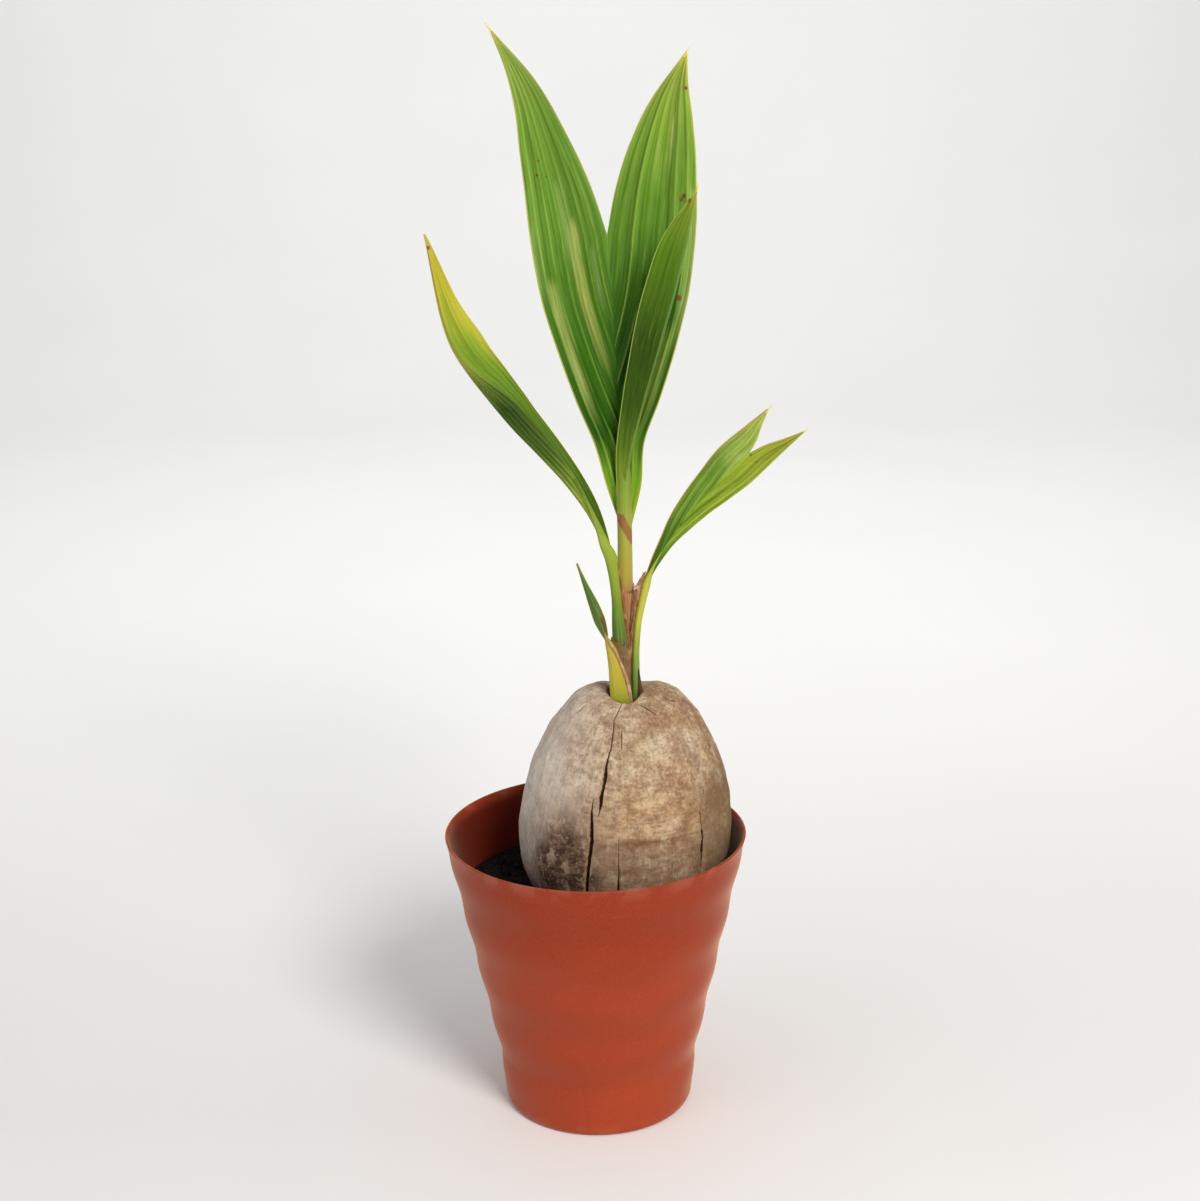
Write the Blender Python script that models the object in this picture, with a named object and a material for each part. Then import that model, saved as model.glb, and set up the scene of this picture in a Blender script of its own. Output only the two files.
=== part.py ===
"""A sprouted coconut palm in a plastic pot, modelled in metres with +Z up.

The origin is the middle of the pot's flat underside. The front faces -Y, and +X is on the
right seen from the front. Every sub-part is one closed object with its own material:
the pot, the soil, the husked nut, the stem and its sheaths, two stalks and five blades.
"""
import math

import bmesh
import bpy
from mathutils import Vector

GAP = 0.0003                 # clear space between neighbouring parts

# Pot: a plain round pot, steeper below its knee, with a faintly waved wall.
POT_HEIGHT = 0.200
POT_RIM_RADIUS = 0.1036
POT_KNEE_HEIGHT = 0.038
POT_KNEE_RADIUS = 0.0692
POT_BASE_RADIUS = 0.0655
POT_WALL = 0.002
POT_EDGE_RADIUS = 0.004      # rounded edge under the wall
POT_WAVE_DEPTH = 0.0005
POT_WAVE_PITCH = 0.040
POT_WAVE_CREST = 0.180       # height of the uppermost crest
POT_WALL_RINGS = 21          # profile points up the outside
POT_SEGMENTS = 56
DRAIN_RADIUS = 0.006
DRAIN_RING = 0.044
DRAIN_HOLES = 4

# Soil: fills the pot to well below the rim.
SOIL_LEVEL = 0.160

# Nut: the fibrous husk, an egg that is a little three-sided, with a pit at its eye end.
NUT_CENTRE = Vector((0.0201, 0.0045, 0.0))   # where the nut is widest
NUT_LEAN = 0.035             # sideways run for each metre of height
NUT_RADIUS = 0.073
NUT_WIDEST_Z = 0.197
NUT_BOTTOM_Z = 0.127
NUT_POLE_Z = 0.3100          # top of the egg, if the pit were not there
NUT_SWELL = 0.012            # share of the radius that the three sides swell by
NUT_LOBE_LIFT = 0.0042       # rise of the lobes left and right of the pit
NUT_LOBE_START_Z = 0.240     # where the lobes begin to show
NUT_SEGMENTS = 42
PIT_CENTRE = Vector((0.0205, -0.001, 0.0))
PIT_FLOOR_Z = 0.2855
PIT_FLOOR_RADIUS = 0.0170
PIT_RIM_RADIUS = 0.0205
PIT_RIM_Z = 0.3010
PLANT_FOOT_Z = PIT_FLOOR_Z + GAP

# Stem: the upright stalk that carries the two tallest leaves.
STEM_FOOT = Vector((0.0220, 0.0060, PLANT_FOOT_Z))
STEM_TOP_Z = 0.4240
STEM_RADIUS = 0.0055

# Dry sheath: a papery sleeve round the stem, torn to two tongues at the top.
SLEEVE_INNER_RADIUS = 0.0060
SLEEVE_OUTER_RADIUS = 0.0072
SLEEVE_STRAIGHT_Z = 0.3450   # the sleeve is upright to here
SLEEVE_TOP_Z = 0.3740        # mean height of the torn edge
SLEEVE_TEAR = 0.0160         # how far the tongues rise and the notches dip
SLEEVE_TONGUE_TURN = math.radians(45)
SLEEVE_FLARE = 0.0050        # how far the right-hand tongue leans out
SLEEVE_FLARE_TURN = math.radians(15)

BLADE_FOLD_SHARE = 0.25      # share of a blade over which its base fold opens out


def smooth(values, t):
    """Point at t (0 to 1) on the curve through evenly spaced numbers or vectors."""
    spans = len(values) - 1
    place = min(max(t, 0.0), 1.0) * spans
    i = min(int(place), spans - 1)
    f = place - i
    p1, p2 = values[i], values[i + 1]
    p0 = values[i - 1] if i > 0 else 2 * p1 - p2
    p3 = values[i + 2] if i + 2 <= spans else 2 * p2 - p1
    return 0.5 * (2 * p1 + (p2 - p0) * f + (2 * p0 - 5 * p1 + 4 * p2 - p3) * f ** 2
                  + (3 * p1 - p0 - 3 * p2 + p3) * f ** 3)


def ease(x):
    """0 to 1 with a soft start and end."""
    x = min(max(x, 0.0), 1.0)
    return x * x * (3 - 2 * x)


# ---------------------------------------------------------------- materials and objects

def make_material(name, colour, roughness):
    material = bpy.data.materials.new(name)
    material.use_nodes = True
    shader = material.node_tree.nodes["Principled BSDF"]
    shader.inputs["Base Color"].default_value = (*colour, 1.0)
    shader.inputs["Roughness"].default_value = roughness
    shader.inputs["Metallic"].default_value = 0.0
    return material


def mesh_object(name, bm, material):
    """Turn a bmesh into a flat-shaded scene object with outward faces."""
    bmesh.ops.recalc_face_normals(bm, faces=bm.faces)
    mesh = bpy.data.meshes.new(name)
    bm.to_mesh(mesh)
    bm.free()
    mesh.materials.append(material)
    obj = bpy.data.objects.new(name, mesh)
    bpy.context.scene.collection.objects.link(obj)
    return obj


def stack_rings(rings):
    """Closed skin through rings of points, each ring with as many points as the next."""
    bm = bmesh.new()
    loops = [[bm.verts.new(point) for point in ring] for ring in rings]
    for low, high in zip(loops, loops[1:]):
        for i in range(len(low)):
            j = (i + 1) % len(low)
            bm.faces.new((low[i], low[j], high[j], high[i]))
    bm.faces.new(loops[0][::-1])
    bm.faces.new(loops[-1])
    return bm


def lathe(name, profile, segments, material):
    """Spin a profile of (radius, height) pairs, from axis to axis, about Z."""
    bm = bmesh.new()
    verts = [bm.verts.new((radius, 0.0, height)) for radius, height in profile]
    for a, b in zip(verts, verts[1:]):
        bm.edges.new((a, b))
    obj = mesh_object(name, bm, material)
    screw = obj.modifiers.new("lathe", 'SCREW')
    screw.axis = 'Z'
    screw.steps = screw.render_steps = segments
    screw.use_merge_vertices = True
    screw.merge_threshold = 0.00005
    screw.use_normal_calculate = True
    screw.use_smooth_shade = False
    return obj


def cut_by(obj, cutter):
    """Take one solid out of another, and keep the cutter as a hidden wire shape."""
    boolean = obj.modifiers.new("cut", 'BOOLEAN')
    boolean.operation = 'DIFFERENCE'
    boolean.solver = 'EXACT'
    boolean.object = cutter


def discard(obj):
    mesh = obj.data
    bpy.data.objects.remove(obj)
    bpy.data.meshes.remove(mesh)


def apply_modifiers(obj):
    """Bake the modifiers into the mesh, so that helpers can be removed."""
    graph = bpy.context.evaluated_depsgraph_get()
    baked = bpy.data.meshes.new_from_object(obj.evaluated_get(graph))
    old = obj.data
    obj.modifiers.clear()
    obj.data = baked
    baked.name = obj.name
    bpy.data.meshes.remove(old)


# ---------------------------------------------------------------- pot and soil

def pot_taper(height):
    """Radius of the plain tapered wall: one slope below the knee, another above it."""
    if height < POT_KNEE_HEIGHT:
        share = height / POT_KNEE_HEIGHT
        return POT_BASE_RADIUS + (POT_KNEE_RADIUS - POT_BASE_RADIUS) * share
    share = (height - POT_KNEE_HEIGHT) / (POT_HEIGHT - POT_KNEE_HEIGHT)
    return POT_KNEE_RADIUS + (POT_RIM_RADIUS - POT_KNEE_RADIUS) * share


def pot_outer_radius(height):
    """Outside radius of the wall, with its shallow waves."""
    fade = ease(height / POT_WAVE_PITCH) * ease((POT_HEIGHT - height) / 0.015)
    wave = POT_WAVE_DEPTH * math.cos(2 * math.pi * (height - POT_WAVE_CREST) / POT_WAVE_PITCH)
    return pot_taper(height) + fade * wave


def pot_inner_radius(height):
    return pot_taper(height) - POT_WALL


def build_pot():
    edge = [(POT_BASE_RADIUS - POT_EDGE_RADIUS * (1 - math.sin(a)),
             POT_EDGE_RADIUS * (1 - math.cos(a)))
            for a in (math.radians(angle) for angle in (0, 30, 60, 85))]
    wall = []
    for i in range(POT_WALL_RINGS):
        height = 0.008 + (POT_HEIGHT - 0.0088) * i / (POT_WALL_RINGS - 1)
        wall.append((pot_outer_radius(height), height))
    lip = [(POT_RIM_RADIUS - 0.0006, POT_HEIGHT), (POT_RIM_RADIUS - POT_WALL, POT_HEIGHT)]
    inside = [(pot_inner_radius(height), height)
              for height in (SOIL_LEVEL, POT_KNEE_HEIGHT, POT_WALL)]
    profile = [(0.0, 0.0)] + edge + wall + lip + inside + [(0.0, POT_WALL)]
    pot = lathe("pot", profile, POT_SEGMENTS,
                make_material("terracotta_plastic", (0.42, 0.085, 0.038), 0.42))
    apply_modifiers(pot)
    for i in range(DRAIN_HOLES):
        angle = 2 * math.pi * (i + 0.5) / DRAIN_HOLES
        place = Vector((math.cos(angle), math.sin(angle), 0.0)) * DRAIN_RING
        cutter = drain_cutter(place)
        cut_by(pot, cutter)
        apply_modifiers(pot)
        discard(cutter)
    return pot


def drain_cutter(place):
    """Upright cylinder through the pot's floor."""
    bm = bmesh.new()
    bmesh.ops.create_cone(bm, cap_ends=True, segments=16, radius1=DRAIN_RADIUS,
                          radius2=DRAIN_RADIUS, depth=4 * POT_WALL)
    bmesh.ops.translate(bm, verts=bm.verts, vec=place + Vector((0, 0, POT_WALL / 2)))
    return mesh_object("drain_cutter", bm, None)


def build_soil():
    """Plug of soil that fills the pot, with the nut's bed cut out of it."""
    floor = POT_WALL + GAP
    profile = [(0.0, floor)]
    profile += [(pot_inner_radius(height) - GAP, height)
                for height in (floor, POT_KNEE_HEIGHT, SOIL_LEVEL)]
    profile += [(0.0, SOIL_LEVEL)]
    soil = lathe("potting_soil", profile, POT_SEGMENTS,
                 make_material("dark_soil", (0.022, 0.015, 0.012), 0.95))
    apply_modifiers(soil)
    bed = mesh_object("bed_cutter", stack_rings(nut_rings(grow=GAP)), None)
    cut_by(soil, bed)
    apply_modifiers(soil)
    discard(bed)
    return soil


# ---------------------------------------------------------------- nut

def nut_profile():
    """(radius, height) pairs up the egg, from near its bottom to the ring round the pit."""
    pairs = []
    for degrees in (5, 18, 32, 46, 60, 75, 90, 103, 115, 126, 136, 145, 153, 159):
        a = math.radians(degrees)
        pole = NUT_BOTTOM_Z if degrees < 90 else NUT_POLE_Z
        pairs.append((NUT_RADIUS * math.sin(a),
                      NUT_WIDEST_Z + abs(math.cos(a)) * (pole - NUT_WIDEST_Z)))
    return pairs


def nut_axis(height):
    """Middle of the leaning nut at a height."""
    return Vector((NUT_CENTRE.x + NUT_LEAN * (height - NUT_WIDEST_Z), NUT_CENTRE.y, height))


def nut_rings(grow=0.0):
    """Rings of points round the husk, and on over its shoulder into the pit."""
    angles = [2 * math.pi * i / NUT_SEGMENTS for i in range(NUT_SEGMENTS)]
    rays = [Vector((math.cos(a), math.sin(a), 0)) for a in angles]
    swells = [1 + NUT_SWELL * math.cos(3 * (a - math.pi / 2)) for a in angles]
    lobes = [Vector((0, 0, NUT_LOBE_LIFT * math.cos(2 * a))) for a in angles]
    rings = []
    for radius, height in nut_profile():
        centre = nut_axis(height) - Vector((0, 0, grow if radius < NUT_RADIUS / 2 else 0))
        rise = ease((height - NUT_LOBE_START_Z) / (PIT_RIM_Z - NUT_LOBE_START_Z))
        rings.append([centre + (radius + grow) * swell * ray + rise * lobe
                      for ray, swell, lobe in zip(rays, swells, lobes)])
    for radius, height, rise in ((PIT_RIM_RADIUS, PIT_RIM_Z, 1.0),
                                 (0.0187, PIT_RIM_Z - 0.0030, 1.0),
                                 (0.0176, PIT_RIM_Z - 0.0085, 0.5),
                                 (PIT_FLOOR_RADIUS, PIT_FLOOR_Z, 0.0)):
        centre = Vector((PIT_CENTRE.x, PIT_CENTRE.y, height))
        rings.append([centre + radius * ray + rise * lobe for ray, lobe in zip(rays, lobes)])
    return rings


def build_nut():
    return mesh_object("coconut_husk", stack_rings(nut_rings()),
                       make_material("dry_husk", (0.50, 0.36, 0.24), 0.9))


# ---------------------------------------------------------------- stem, sheaths and stalks

def frame_at(path, t, face, turn=0.0):
    """Point, tangent, sideways and outward directions of a leaf's midline at t."""
    step = 0.001
    along = (smooth(path, t + step) - smooth(path, t - step)).normalized()
    side = along.cross(face).normalized()
    out = side.cross(along)
    side, out = (math.cos(turn) * side + math.sin(turn) * out,
                 math.cos(turn) * out - math.sin(turn) * side)
    return smooth(path, t), along, side, out


def build_tube(name, path, share, half_widths, half_depths, face, sides, rows, material):
    """Solid stalk of oval section along the first share of a leaf's path."""
    rings = []
    for row in range(rows + 1):
        v = row / rows
        centre, _, side, out = frame_at(path, share * v, face)
        wide, deep = smooth(half_widths, v), smooth(half_depths, v)
        rings.append([centre + wide * math.cos(a) * side + deep * math.sin(a) * out
                      for a in (2 * math.pi * i / sides for i in range(sides))])
    for point in rings[0]:
        point.z = path[0].z      # the foot is cut flat
    return mesh_object(name, stack_rings(rings), material)


def build_stem():
    foot, top = STEM_FOOT, Vector((STEM_FOOT.x, STEM_FOOT.y, STEM_TOP_Z))
    swell = [STEM_RADIUS, STEM_RADIUS * 0.96, STEM_RADIUS * 0.93, STEM_RADIUS]
    return build_tube("centre_stem", [foot, foot.lerp(top, 0.5), top], 1.0, swell, swell,
                      FRONT, 16, 6, make_material("stem_green", (0.16, 0.25, 0.035), 0.5))


def build_dry_sheath():
    """Thin sleeve round the stem, with a flared tongue that leans out behind a stalk."""
    sides = 24
    loops = []
    for i in range(sides):
        a = 2 * math.pi * i / sides
        ray = Vector((math.cos(a), math.sin(a), 0))
        lean = SLEEVE_FLARE * max(0.0, math.cos(a - SLEEVE_FLARE_TURN)) ** 4
        jag = 0.0015 if i % 2 else -0.0015
        edge = SLEEVE_TOP_Z + jag + SLEEVE_TEAR * math.cos(2 * (a - SLEEVE_TONGUE_TURN))
        outline = ((SLEEVE_INNER_RADIUS, PLANT_FOOT_Z), (SLEEVE_OUTER_RADIUS, PLANT_FOOT_Z),
                   (SLEEVE_OUTER_RADIUS, SLEEVE_STRAIGHT_Z),
                   (SLEEVE_OUTER_RADIUS + lean, edge), (SLEEVE_INNER_RADIUS + lean, edge),
                   (SLEEVE_INNER_RADIUS, SLEEVE_STRAIGHT_Z))
        loops.append([Vector((STEM_FOOT.x, STEM_FOOT.y, height)) + radius * ray
                      for radius, height in outline])
    bm = bmesh.new()
    rows = [[bm.verts.new(point) for point in loop] for loop in loops]
    for near, far in zip(rows, rows[1:] + rows[:1]):
        for k in range(len(near)):
            m = (k + 1) % len(near)
            bm.faces.new((near[k], far[k], far[m], near[m]))
    return mesh_object("dry_sheath", bm,
                       make_material("dry_fibre", (0.24, 0.13, 0.06), 0.85))


# ---------------------------------------------------------------- blades

FRONT = Vector((0.0, -1.0, 0.0))


class Blade:
    """One leaf blade: a midline, two folded halves, pleats and, if it forks, a sinus.

    Half widths are evenly spaced values from the base to the tip, and gap widths evenly
    spaced values from the sinus to the tip. A half's reach is how far up the midline its
    tip lies. The leaf's path may begin with a stalk, and the blade then starts past it.
    """

    def __init__(self, name, path, left, right, fold, thickness, rows, columns, material,
                 stalk_spans=0, lift=0.0, base_fold=None, turn=(0.0, 0.0), pleat=0.0,
                 sinus=None, left_gap=None, right_gap=None, left_reach=1.0,
                 right_reach=1.0):
        self.name, self.material, self.thickness = name, material, thickness
        self.path = [Vector(point) for point in path]
        self.rows, self.columns, self.pleat = rows, columns, pleat
        self.fold = math.radians(fold)
        self.base_fold = self.fold if base_fold is None else math.radians(base_fold)
        self.turn = [math.radians(angle) for angle in turn]
        self.stalk_share = stalk_spans / (len(path) - 1)
        self.lift = lift
        self.sinus = sinus
        self.halves = ((-1, left, left_gap, left_reach), (1, right, right_gap, right_reach))

    def midline_share(self, v, reach):
        """How far along the path a row of the blade lies."""
        if self.sinus is not None and v > self.sinus:
            v = self.sinus + (v - self.sinus) * (reach - self.sinus) / (1 - self.sinus)
        length = sum((b - a).length for a, b in zip(self.path, self.path[1:]))
        start = self.stalk_share + self.lift / length
        return start + v * (1 - start)

    def point(self, half, v, u):
        """Point of the blade's middle surface, at v from base to tip, u out to the margin."""
        sign, widths, gaps, reach = half
        centre, _, side, out = frame_at(self.path, self.midline_share(v, reach), FRONT,
                                        smooth(self.turn, v))
        fold = self.base_fold + (self.fold - self.base_fold) * ease(v / BLADE_FOLD_SHARE)
        outward = sign * math.cos(fold) * side - math.sin(fold) * out
        normal = sign * math.sin(fold) * side + math.cos(fold) * out
        outer = smooth(widths, v)
        inner = 0.0
        if gaps and v > self.sinus:
            inner = max(0.0, smooth(gaps, (v - self.sinus) / (1 - self.sinus)))
        column = round(u * self.columns)
        ripple = self.pleat * (1 if column % 2 else -1) * math.sin(math.pi * v) ** 0.5
        if column in (0, self.columns):
            ripple = 0.0
        ripple *= min(1.0, (outer - inner) / (20 * self.pleat)) if self.pleat else 0.0
        return centre + (inner + (outer - inner) * u) * outward + ripple * normal

    def row_values(self):
        """Rows from base to tip, with one row exactly at the sinus."""
        values = [row / self.rows for row in range(self.rows + 1)]
        if self.sinus is not None:
            nearest = min(range(1, self.rows), key=lambda row: abs(values[row] - self.sinus))
            values[nearest] = self.sinus
        return values

    def build(self):
        bm = bmesh.new()
        values = self.row_values()
        grids = [[[bm.verts.new(self.point(half, v, u / self.columns))
                   for u in range(self.columns + 1)] for v in values]
                 for half in self.halves]
        left, right = grids
        for k, v in enumerate(values):
            if self.sinus is None or v <= self.sinus:
                bm.verts.remove(right[k][0])
                right[k][0] = left[k][0]
        for grid in grids:
            for low, high in zip(grid, grid[1:]):
                for j in range(self.columns):
                    bm.faces.new((low[j], low[j + 1], high[j + 1], high[j]))
        obj = mesh_object(self.name, bm, self.material)
        solidify = obj.modifiers.new("thickness", 'SOLIDIFY')
        solidify.thickness = self.thickness
        solidify.offset = 0.0
        solidify.use_even_offset = False
        obj.modifiers.new("triangles", 'TRIANGULATE')    # the quads are twisted
        apply_modifiers(obj)
        return obj


def build_tall_leaf(green):
    """The tallest leaf, which forks into two long lobes and leans away from the front."""
    return Blade(
        "tall_leaf",
        path=((0.0230, 0.0103, STEM_TOP_Z + 0.0012), (0.0200, 0.0175, 0.4795),
              (0.0160, 0.0290, 0.5521), (0.0124, 0.0410, 0.6112),
              (0.0090, 0.0550, 0.6716), (0.0060, 0.0700, 0.7329)),
        left=(0.0060, 0.0127, 0.0178, 0.0282, 0.0377, 0.0450, 0.0488, 0.0508, 0.0520,
              0.0534, 0.0548, 0.0596, 0.0685),
        right=(0.0075, 0.0111, 0.0150, 0.0283, 0.0403, 0.0498, 0.0555, 0.0590, 0.0606,
               0.0614, 0.0608, 0.0594, 0.0600),
        fold=-10, thickness=0.0032, rows=24, columns=8, pleat=0.0010, material=green,
        sinus=0.585,
        left_gap=(0.0, 0.0104, 0.0236, 0.0409, 0.0664),
        right_gap=(0.0, 0.0084, 0.0192, 0.0352, 0.0579), right_reach=0.93).build()


def build_spear_leaf(green):
    """The middle leaf, seen from its ridged back, broad side to the left."""
    return Blade(
        "spear_leaf",
        path=((0.0218, 0.0032, STEM_TOP_Z + 0.0016), (0.0245, 0.0025, 0.4580),
              (0.0334, 0.0000, 0.4950), (0.0452, -0.0056, 0.5370),
              (0.0565, -0.0125, 0.5800), (0.0686, -0.0220, 0.6350)),
        left=(0.0050, 0.0066, 0.0100, 0.0130, 0.0160, 0.0187, 0.0192, 0.0158, 0.0008),
        right=(0.0030, 0.0055, 0.0085, 0.0125, 0.0160, 0.0180, 0.0170, 0.0110, 0.0008),
        fold=49, base_fold=40, turn=(-20, -31, -31), thickness=0.0024, rows=18, columns=5,
        pleat=0.0006, material=green).build()


def build_left_leaf(green, stalk_green):
    """The leaf that arches to the left on a thick channelled stalk."""
    path = [Vector(point) for point in (
        (0.0184, -0.0054, PLANT_FOOT_Z), (0.0185, -0.0055, 0.3220), (0.0182, -0.0060, 0.3590),
        (0.0128, -0.0082, 0.3960), (-0.0080, -0.0135, 0.4490), (-0.0430, -0.0245, 0.4990),
        (-0.0830, -0.0370, 0.5410), (-0.0989, -0.0520, 0.6130))]
    stalk = build_tube("left_stalk", path, 3 / 7, (0.0054, 0.0057, 0.0052, 0.0042),
                       (0.0036, 0.0038, 0.0037, 0.0033), FRONT, 14, 8, stalk_green)
    blade = Blade(
        "left_blade", path,
        left=(0.0042, 0.0055, 0.0106, 0.0152, 0.0170, 0.0158, 0.0112, 0.0080, 0.0008),
        right=(0.0042, 0.0110, 0.0099, 0.0116, 0.0160, 0.0196, 0.0197, 0.0100, 0.0008),
        fold=50, base_fold=60, turn=(-10, -18, -19, -18, 12, 26, 26), thickness=0.0027,
        rows=22, columns=5, pleat=0.0006, material=green, stalk_spans=3,
        lift=GAP).build()
    return stalk, blade


def build_right_leaf(green, stalk_green):
    """The small forked leaf on the right, on a thin stalk."""
    path = [Vector(point) for point in (
        (0.0286, -0.0044, PLANT_FOOT_Z), (0.0289, -0.0048, 0.3180), (0.0303, -0.0058, 0.3500),
        (0.0360, -0.0078, 0.3785), (0.0492, -0.0125, 0.4060), (0.0680, -0.0200, 0.4330),
        (0.0930, -0.0310, 0.4620), (0.1235, -0.0430, 0.4940))]
    stalk = build_tube("right_stalk", path, 3 / 7, (0.0028, 0.0028, 0.0029, 0.0030),
                       (0.0026, 0.0027, 0.0026, 0.0022), FRONT, 10, 8, stalk_green)
    blade = Blade(
        "right_blade", path,
        left=(0.0030, 0.0038, 0.0054, 0.0087, 0.0112, 0.0134, 0.0157, 0.0144, 0.0130),
        right=(0.0030, 0.0034, 0.0043, 0.0073, 0.0102, 0.0136, 0.0159, 0.0152, 0.0145),
        fold=8, base_fold=40, thickness=0.0018, rows=16, columns=5, pleat=0.0006,
        material=green, stalk_spans=3, lift=GAP, sinus=0.82,
        left_gap=(0.0, 0.0028, 0.0077, 0.0119), left_reach=0.985,
        right_gap=(0.0, 0.0033, 0.0088, 0.0133)).build()
    return stalk, blade


def build_first_leaf(green, sheath_yellow):
    """The first, shrunken leaf: a wide yellowing sheath with a short narrow blade."""
    path = [Vector(point) for point in (
        (0.0194, -0.0122, PLANT_FOOT_Z), (0.0160, -0.0132, 0.3150), (0.0098, -0.0146, 0.3400),
        (0.0037, -0.0177, 0.3590), (-0.0025, -0.0210, 0.3765), (-0.0095, -0.0240, 0.3968))]
    sheath = build_tube("first_sheath", path, 2 / 5, (0.0080, 0.0073, 0.0048, 0.0030),
                        (0.0024, 0.0026, 0.0023, 0.0018), FRONT, 12, 6, sheath_yellow)
    blade = Blade(
        "first_blade", path, left=(0.0028, 0.0032, 0.0029, 0.0020, 0.0006),
        right=(0.0028, 0.0032, 0.0029, 0.0020, 0.0006), fold=35, thickness=0.0010,
        rows=10, columns=2, material=green, stalk_spans=2, lift=GAP).build()
    return sheath, blade


def main():
    for obj in list(bpy.data.objects):
        bpy.data.objects.remove(obj)
    leaf_green = make_material("leaf_green", (0.10, 0.20, 0.03), 0.45)
    stalk_green = make_material("stalk_green", (0.22, 0.30, 0.05), 0.45)
    sheath_yellow = make_material("sheath_yellow", (0.62, 0.45, 0.10), 0.6)
    build_pot()
    build_soil()
    build_nut()
    build_stem()
    build_dry_sheath()
    build_first_leaf(leaf_green, sheath_yellow)
    build_left_leaf(leaf_green, stalk_green)
    build_right_leaf(leaf_green, stalk_green)
    build_tall_leaf(leaf_green)
    build_spear_leaf(leaf_green)


main()
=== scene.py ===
"""A sprouted coconut palm in a plastic pot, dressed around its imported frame.

Run as a script it builds every piece. Each operator can also be called alone. Everything is
in metres, +Z is up, the front faces -Y, and the origin is the middle of the pot's underside.
"""
import math
import random

import bmesh
import bpy
from mathutils import Matrix, Vector, noise


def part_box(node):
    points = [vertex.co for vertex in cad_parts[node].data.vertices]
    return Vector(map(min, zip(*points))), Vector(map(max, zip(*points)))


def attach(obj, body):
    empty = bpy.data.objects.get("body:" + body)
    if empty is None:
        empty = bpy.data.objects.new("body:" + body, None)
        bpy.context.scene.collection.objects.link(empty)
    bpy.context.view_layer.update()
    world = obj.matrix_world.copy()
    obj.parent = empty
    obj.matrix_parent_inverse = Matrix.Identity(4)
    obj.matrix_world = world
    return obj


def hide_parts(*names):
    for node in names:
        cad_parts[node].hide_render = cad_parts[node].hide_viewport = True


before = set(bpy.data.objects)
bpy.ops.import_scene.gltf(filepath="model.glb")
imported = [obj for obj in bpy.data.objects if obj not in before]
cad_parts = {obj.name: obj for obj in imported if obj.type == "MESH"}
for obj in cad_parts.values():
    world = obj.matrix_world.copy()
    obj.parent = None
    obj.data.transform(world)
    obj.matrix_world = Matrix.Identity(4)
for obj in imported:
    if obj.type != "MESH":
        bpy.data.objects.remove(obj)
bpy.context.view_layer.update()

bl_info = {
    "name": "Potted Coconut Seedling",
    "version": (1, 0, 0),
    "blender": (4, 5, 0),
    "location": "View3D > Sidebar > Coconut",
    "description": "Builds a sprouted coconut in a plastic pot around its packed frame",
    "category": "Add Mesh",
}

MM = 0.001
FRONT = Vector((0.0, -1.0, 0.0))
POT_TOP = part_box("pot")[1].z
SOIL_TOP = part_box("potting_soil")[1].z
PLANT_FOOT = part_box("centre_stem")[0].z
STEM_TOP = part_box("centre_stem")[1].z
TALL_LEAF_FOOT = STEM_TOP - 0.0110
SPEAR_LEAF_FOOT = STEM_TOP + 0.0016


# ---------------------------------------------------------------- numbers and curves

def tint(red, green, blue):
    """Linear colour for the 0 to 255 values that a colour picker shows."""
    linear = [c / 255 / 12.92 if c <= 10 else ((c / 255 + 0.055) / 1.055) ** 2.4
              for c in (red, green, blue)]
    return (*linear, 1.0)


def colour_of(shade):
    """The ready colour in a list of one, or the tint of red, green and blue."""
    return shade[0] if len(shade) == 1 else tint(*shade)


def smooth(values, t):
    """Point at t (0 to 1) on the curve through evenly spaced numbers or vectors."""
    spans = len(values) - 1
    place = min(max(t, 0.0), 1.0) * spans
    i = min(int(place), spans - 1)
    f = place - i
    p1, p2 = values[i], values[i + 1]
    p0 = values[i - 1] if i > 0 else 2 * p1 - p2
    p3 = values[i + 2] if i + 2 <= spans else 2 * p2 - p1
    return 0.5 * (2 * p1 + (p2 - p0) * f + (2 * p0 - 5 * p1 + 4 * p2 - p3) * f ** 2
                  + (3 * p1 - p0 - 3 * p2 + p3) * f ** 3)


def ease(x):
    """0 to 1 with a soft start and end."""
    x = min(max(x, 0.0), 1.0)
    return x * x * (3 - 2 * x)


def between(pairs, x):
    """Value at x on straight lines through (x, value) pairs in rising order."""
    for (x0, y0), (x1, y1) in zip(pairs, pairs[1:]):
        if x <= x1:
            return y0 + (y1 - y0) * max(0.0, (x - x0) / (x1 - x0))
    return pairs[-1][1]


def frame_at(path, t, turn=0.0):
    """Point, sideways and outward directions of a midline at t."""
    along = (smooth(path, t + 0.001) - smooth(path, t - 0.001)).normalized()
    side = along.cross(FRONT).normalized()
    out = side.cross(along)
    return (smooth(path, t), math.cos(turn) * side + math.sin(turn) * out,
            math.cos(turn) * out - math.sin(turn) * side)


def vectors(points):
    return [Vector(point) for point in points]


def angles_round(sides):
    """Even angles of a ring's points."""
    return [2 * math.pi * i / sides for i in range(sides)]


# ---------------------------------------------------------------- shader building

class Signal:
    """An output of a shader node. Arithmetic on it adds Math nodes."""

    def __init__(self, finish, socket):
        self.finish, self.socket = finish, socket

    def __add__(self, other):
        return self.finish.math('ADD', self, other)

    def __sub__(self, other):
        return self.finish.math('SUBTRACT', self, other)

    def __rsub__(self, other):
        return self.finish.math('SUBTRACT', other, self)

    def __mul__(self, other):
        return self.finish.math('MULTIPLY', self, other)

    __radd__ = __add__
    __rmul__ = __mul__

    def __abs__(self):
        return self.finish.math('ABSOLUTE', self)


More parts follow.
